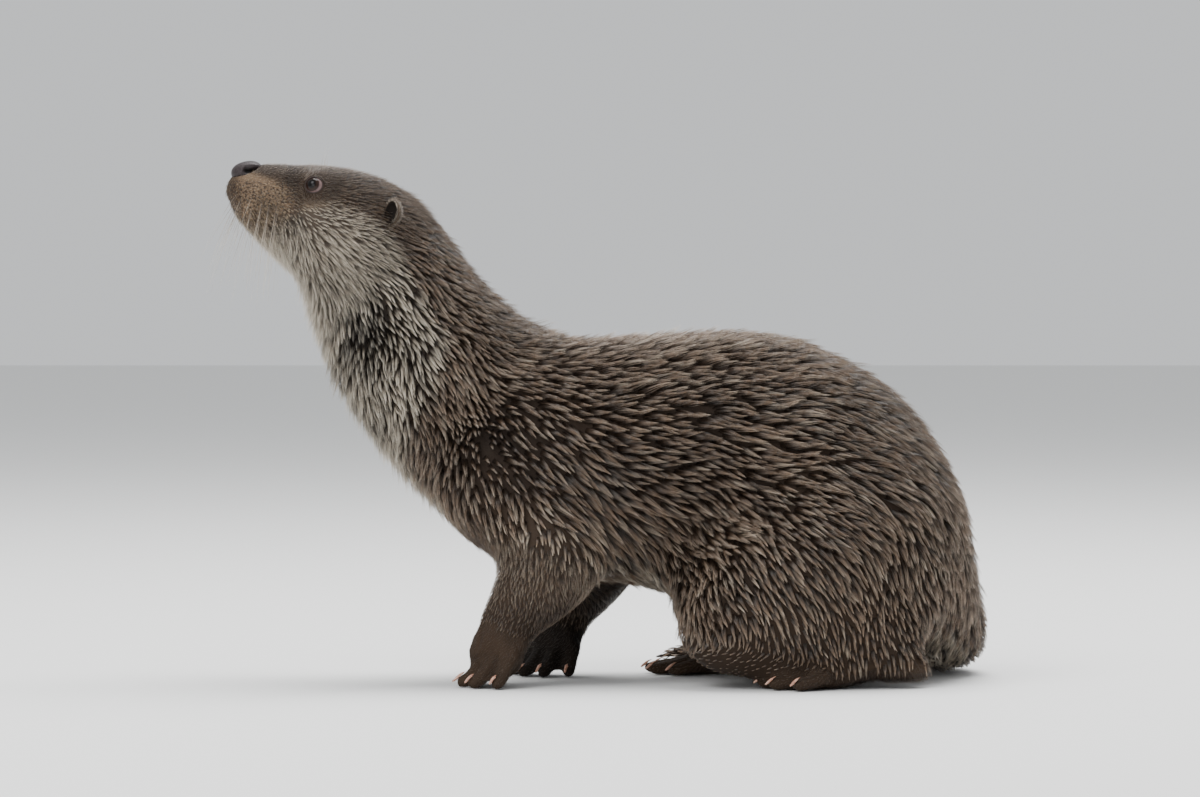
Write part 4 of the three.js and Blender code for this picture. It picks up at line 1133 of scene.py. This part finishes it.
# ------------------------------------------------------------
# Whiskers
# Long stiff pale bristles rooted in rows over each side of the upper lip, bending down and back under their
# own weight, with a couple of short ones over each eye.
# ------------------------------------------------------------
bristle, tree, shader, add = shader_net("whisker")
sheen = add("TexNoise", {"Vector": add("TexCoord").outputs["Object"], "Scale": 120}).outputs["Fac"]
sheen = add("MapRange", {"Value": sheen, "From Min": 0.3, "From Max": 0.7, "To Min": 0.6, "To Max": 1.1})
root_to_tip = add("Attribute", attribute_name="along").outputs["Fac"]
horny = ramp(add, root_to_tip, [(0.05, (0.07, 0.045, 0.03)), (0.4, (0.42, 0.36, 0.29)),
                                (1.0, (0.7, 0.64, 0.54))])
sheen = add("MixRGB", {"Fac": 1, "Color1": horny, "Color2": sheen.outputs["Result"]}, blend_type="MULTIPLY")
tree.links.new(sheen.outputs["Color"], shader.inputs["Base Color"])
shader.inputs["Roughness"].default_value = 0.35
ROWS, IN_ROW = 5, 6
FIRST_ROOT = (-250, 16, 322)  # the foremost of the top row
WHISKER_LENGTHS = (34, 58)
WHISKER_RADII = (0.13, 0.035)  # at the root and at the tip
BROW_ROOT, BROW_WHISKERS, BROW_RADII = (-196, 20, 341), 2, (0.11, 0.035)
WHISKER_SEED = 12
luck = np.random.default_rng(WHISKER_SEED)
rows = ([], [])
far_along = []


def bristle_along(line, s, radii):
    """Adds one bristle that thins out along its line."""
    tube(rows, line, np.interp(s[:, 0], [0, 1], radii), 5)
    far_along.extend(np.repeat(s[:, 0], 5))


for across in (-1, 1):
    for row in range(ROWS):
        for place in range(IN_ROW):
            goal = np.array([FIRST_ROOT[0] + 5.2 * place + luck.normal(0, 0.6),
                             across * (FIRST_ROOT[1] + 1.6 * place),
                             FIRST_ROOT[2] - 3.1 * row - 1.4 * place + luck.normal(0, 0.5)])
            spot, normal, _, _ = skin_tree.find_nearest(on_body(*goal))
            root, out = in_body(np.array(spot)), np.array(normal)
            length = luck.uniform(*WHISKER_LENGTHS) * (1.08 - 0.06 * row)
            way = unit(out * 0.45 + np.array([-0.04 * (IN_ROW - place), 0.25 * across, -0.78]))
            fall = luck.uniform(0.15, 0.45) * length
            back = luck.uniform(-0.06, 0.12) * length
            s = np.linspace(0, 1, 9)[:, None]
            line = root - out * 0.8 + way * length * s * 0.95 + np.array([back, 0, -fall]) * s ** 2
            bristle_along(line, s, WHISKER_RADII)
    for place in range(BROW_WHISKERS):
        goal = on_body(BROW_ROOT[0] + 3.5 * place, across * BROW_ROOT[1], BROW_ROOT[2])
        root = in_body(np.array(skin_tree.find_nearest(goal)[0]))
        s = np.linspace(0, 1, 6)[:, None]
        way = unit(np.array([0.05 - 0.35 * place, 0.25 * across, 1]))
        line = root + way * (17 - 5 * place) * s + np.array([3, 0, 0]) * s ** 2
        bristle_along(line, s, BROW_RADII)
whiskers = from_rows("whiskers", rows, bristle)
set_attribute(whiskers.data, "along", np.array(far_along))
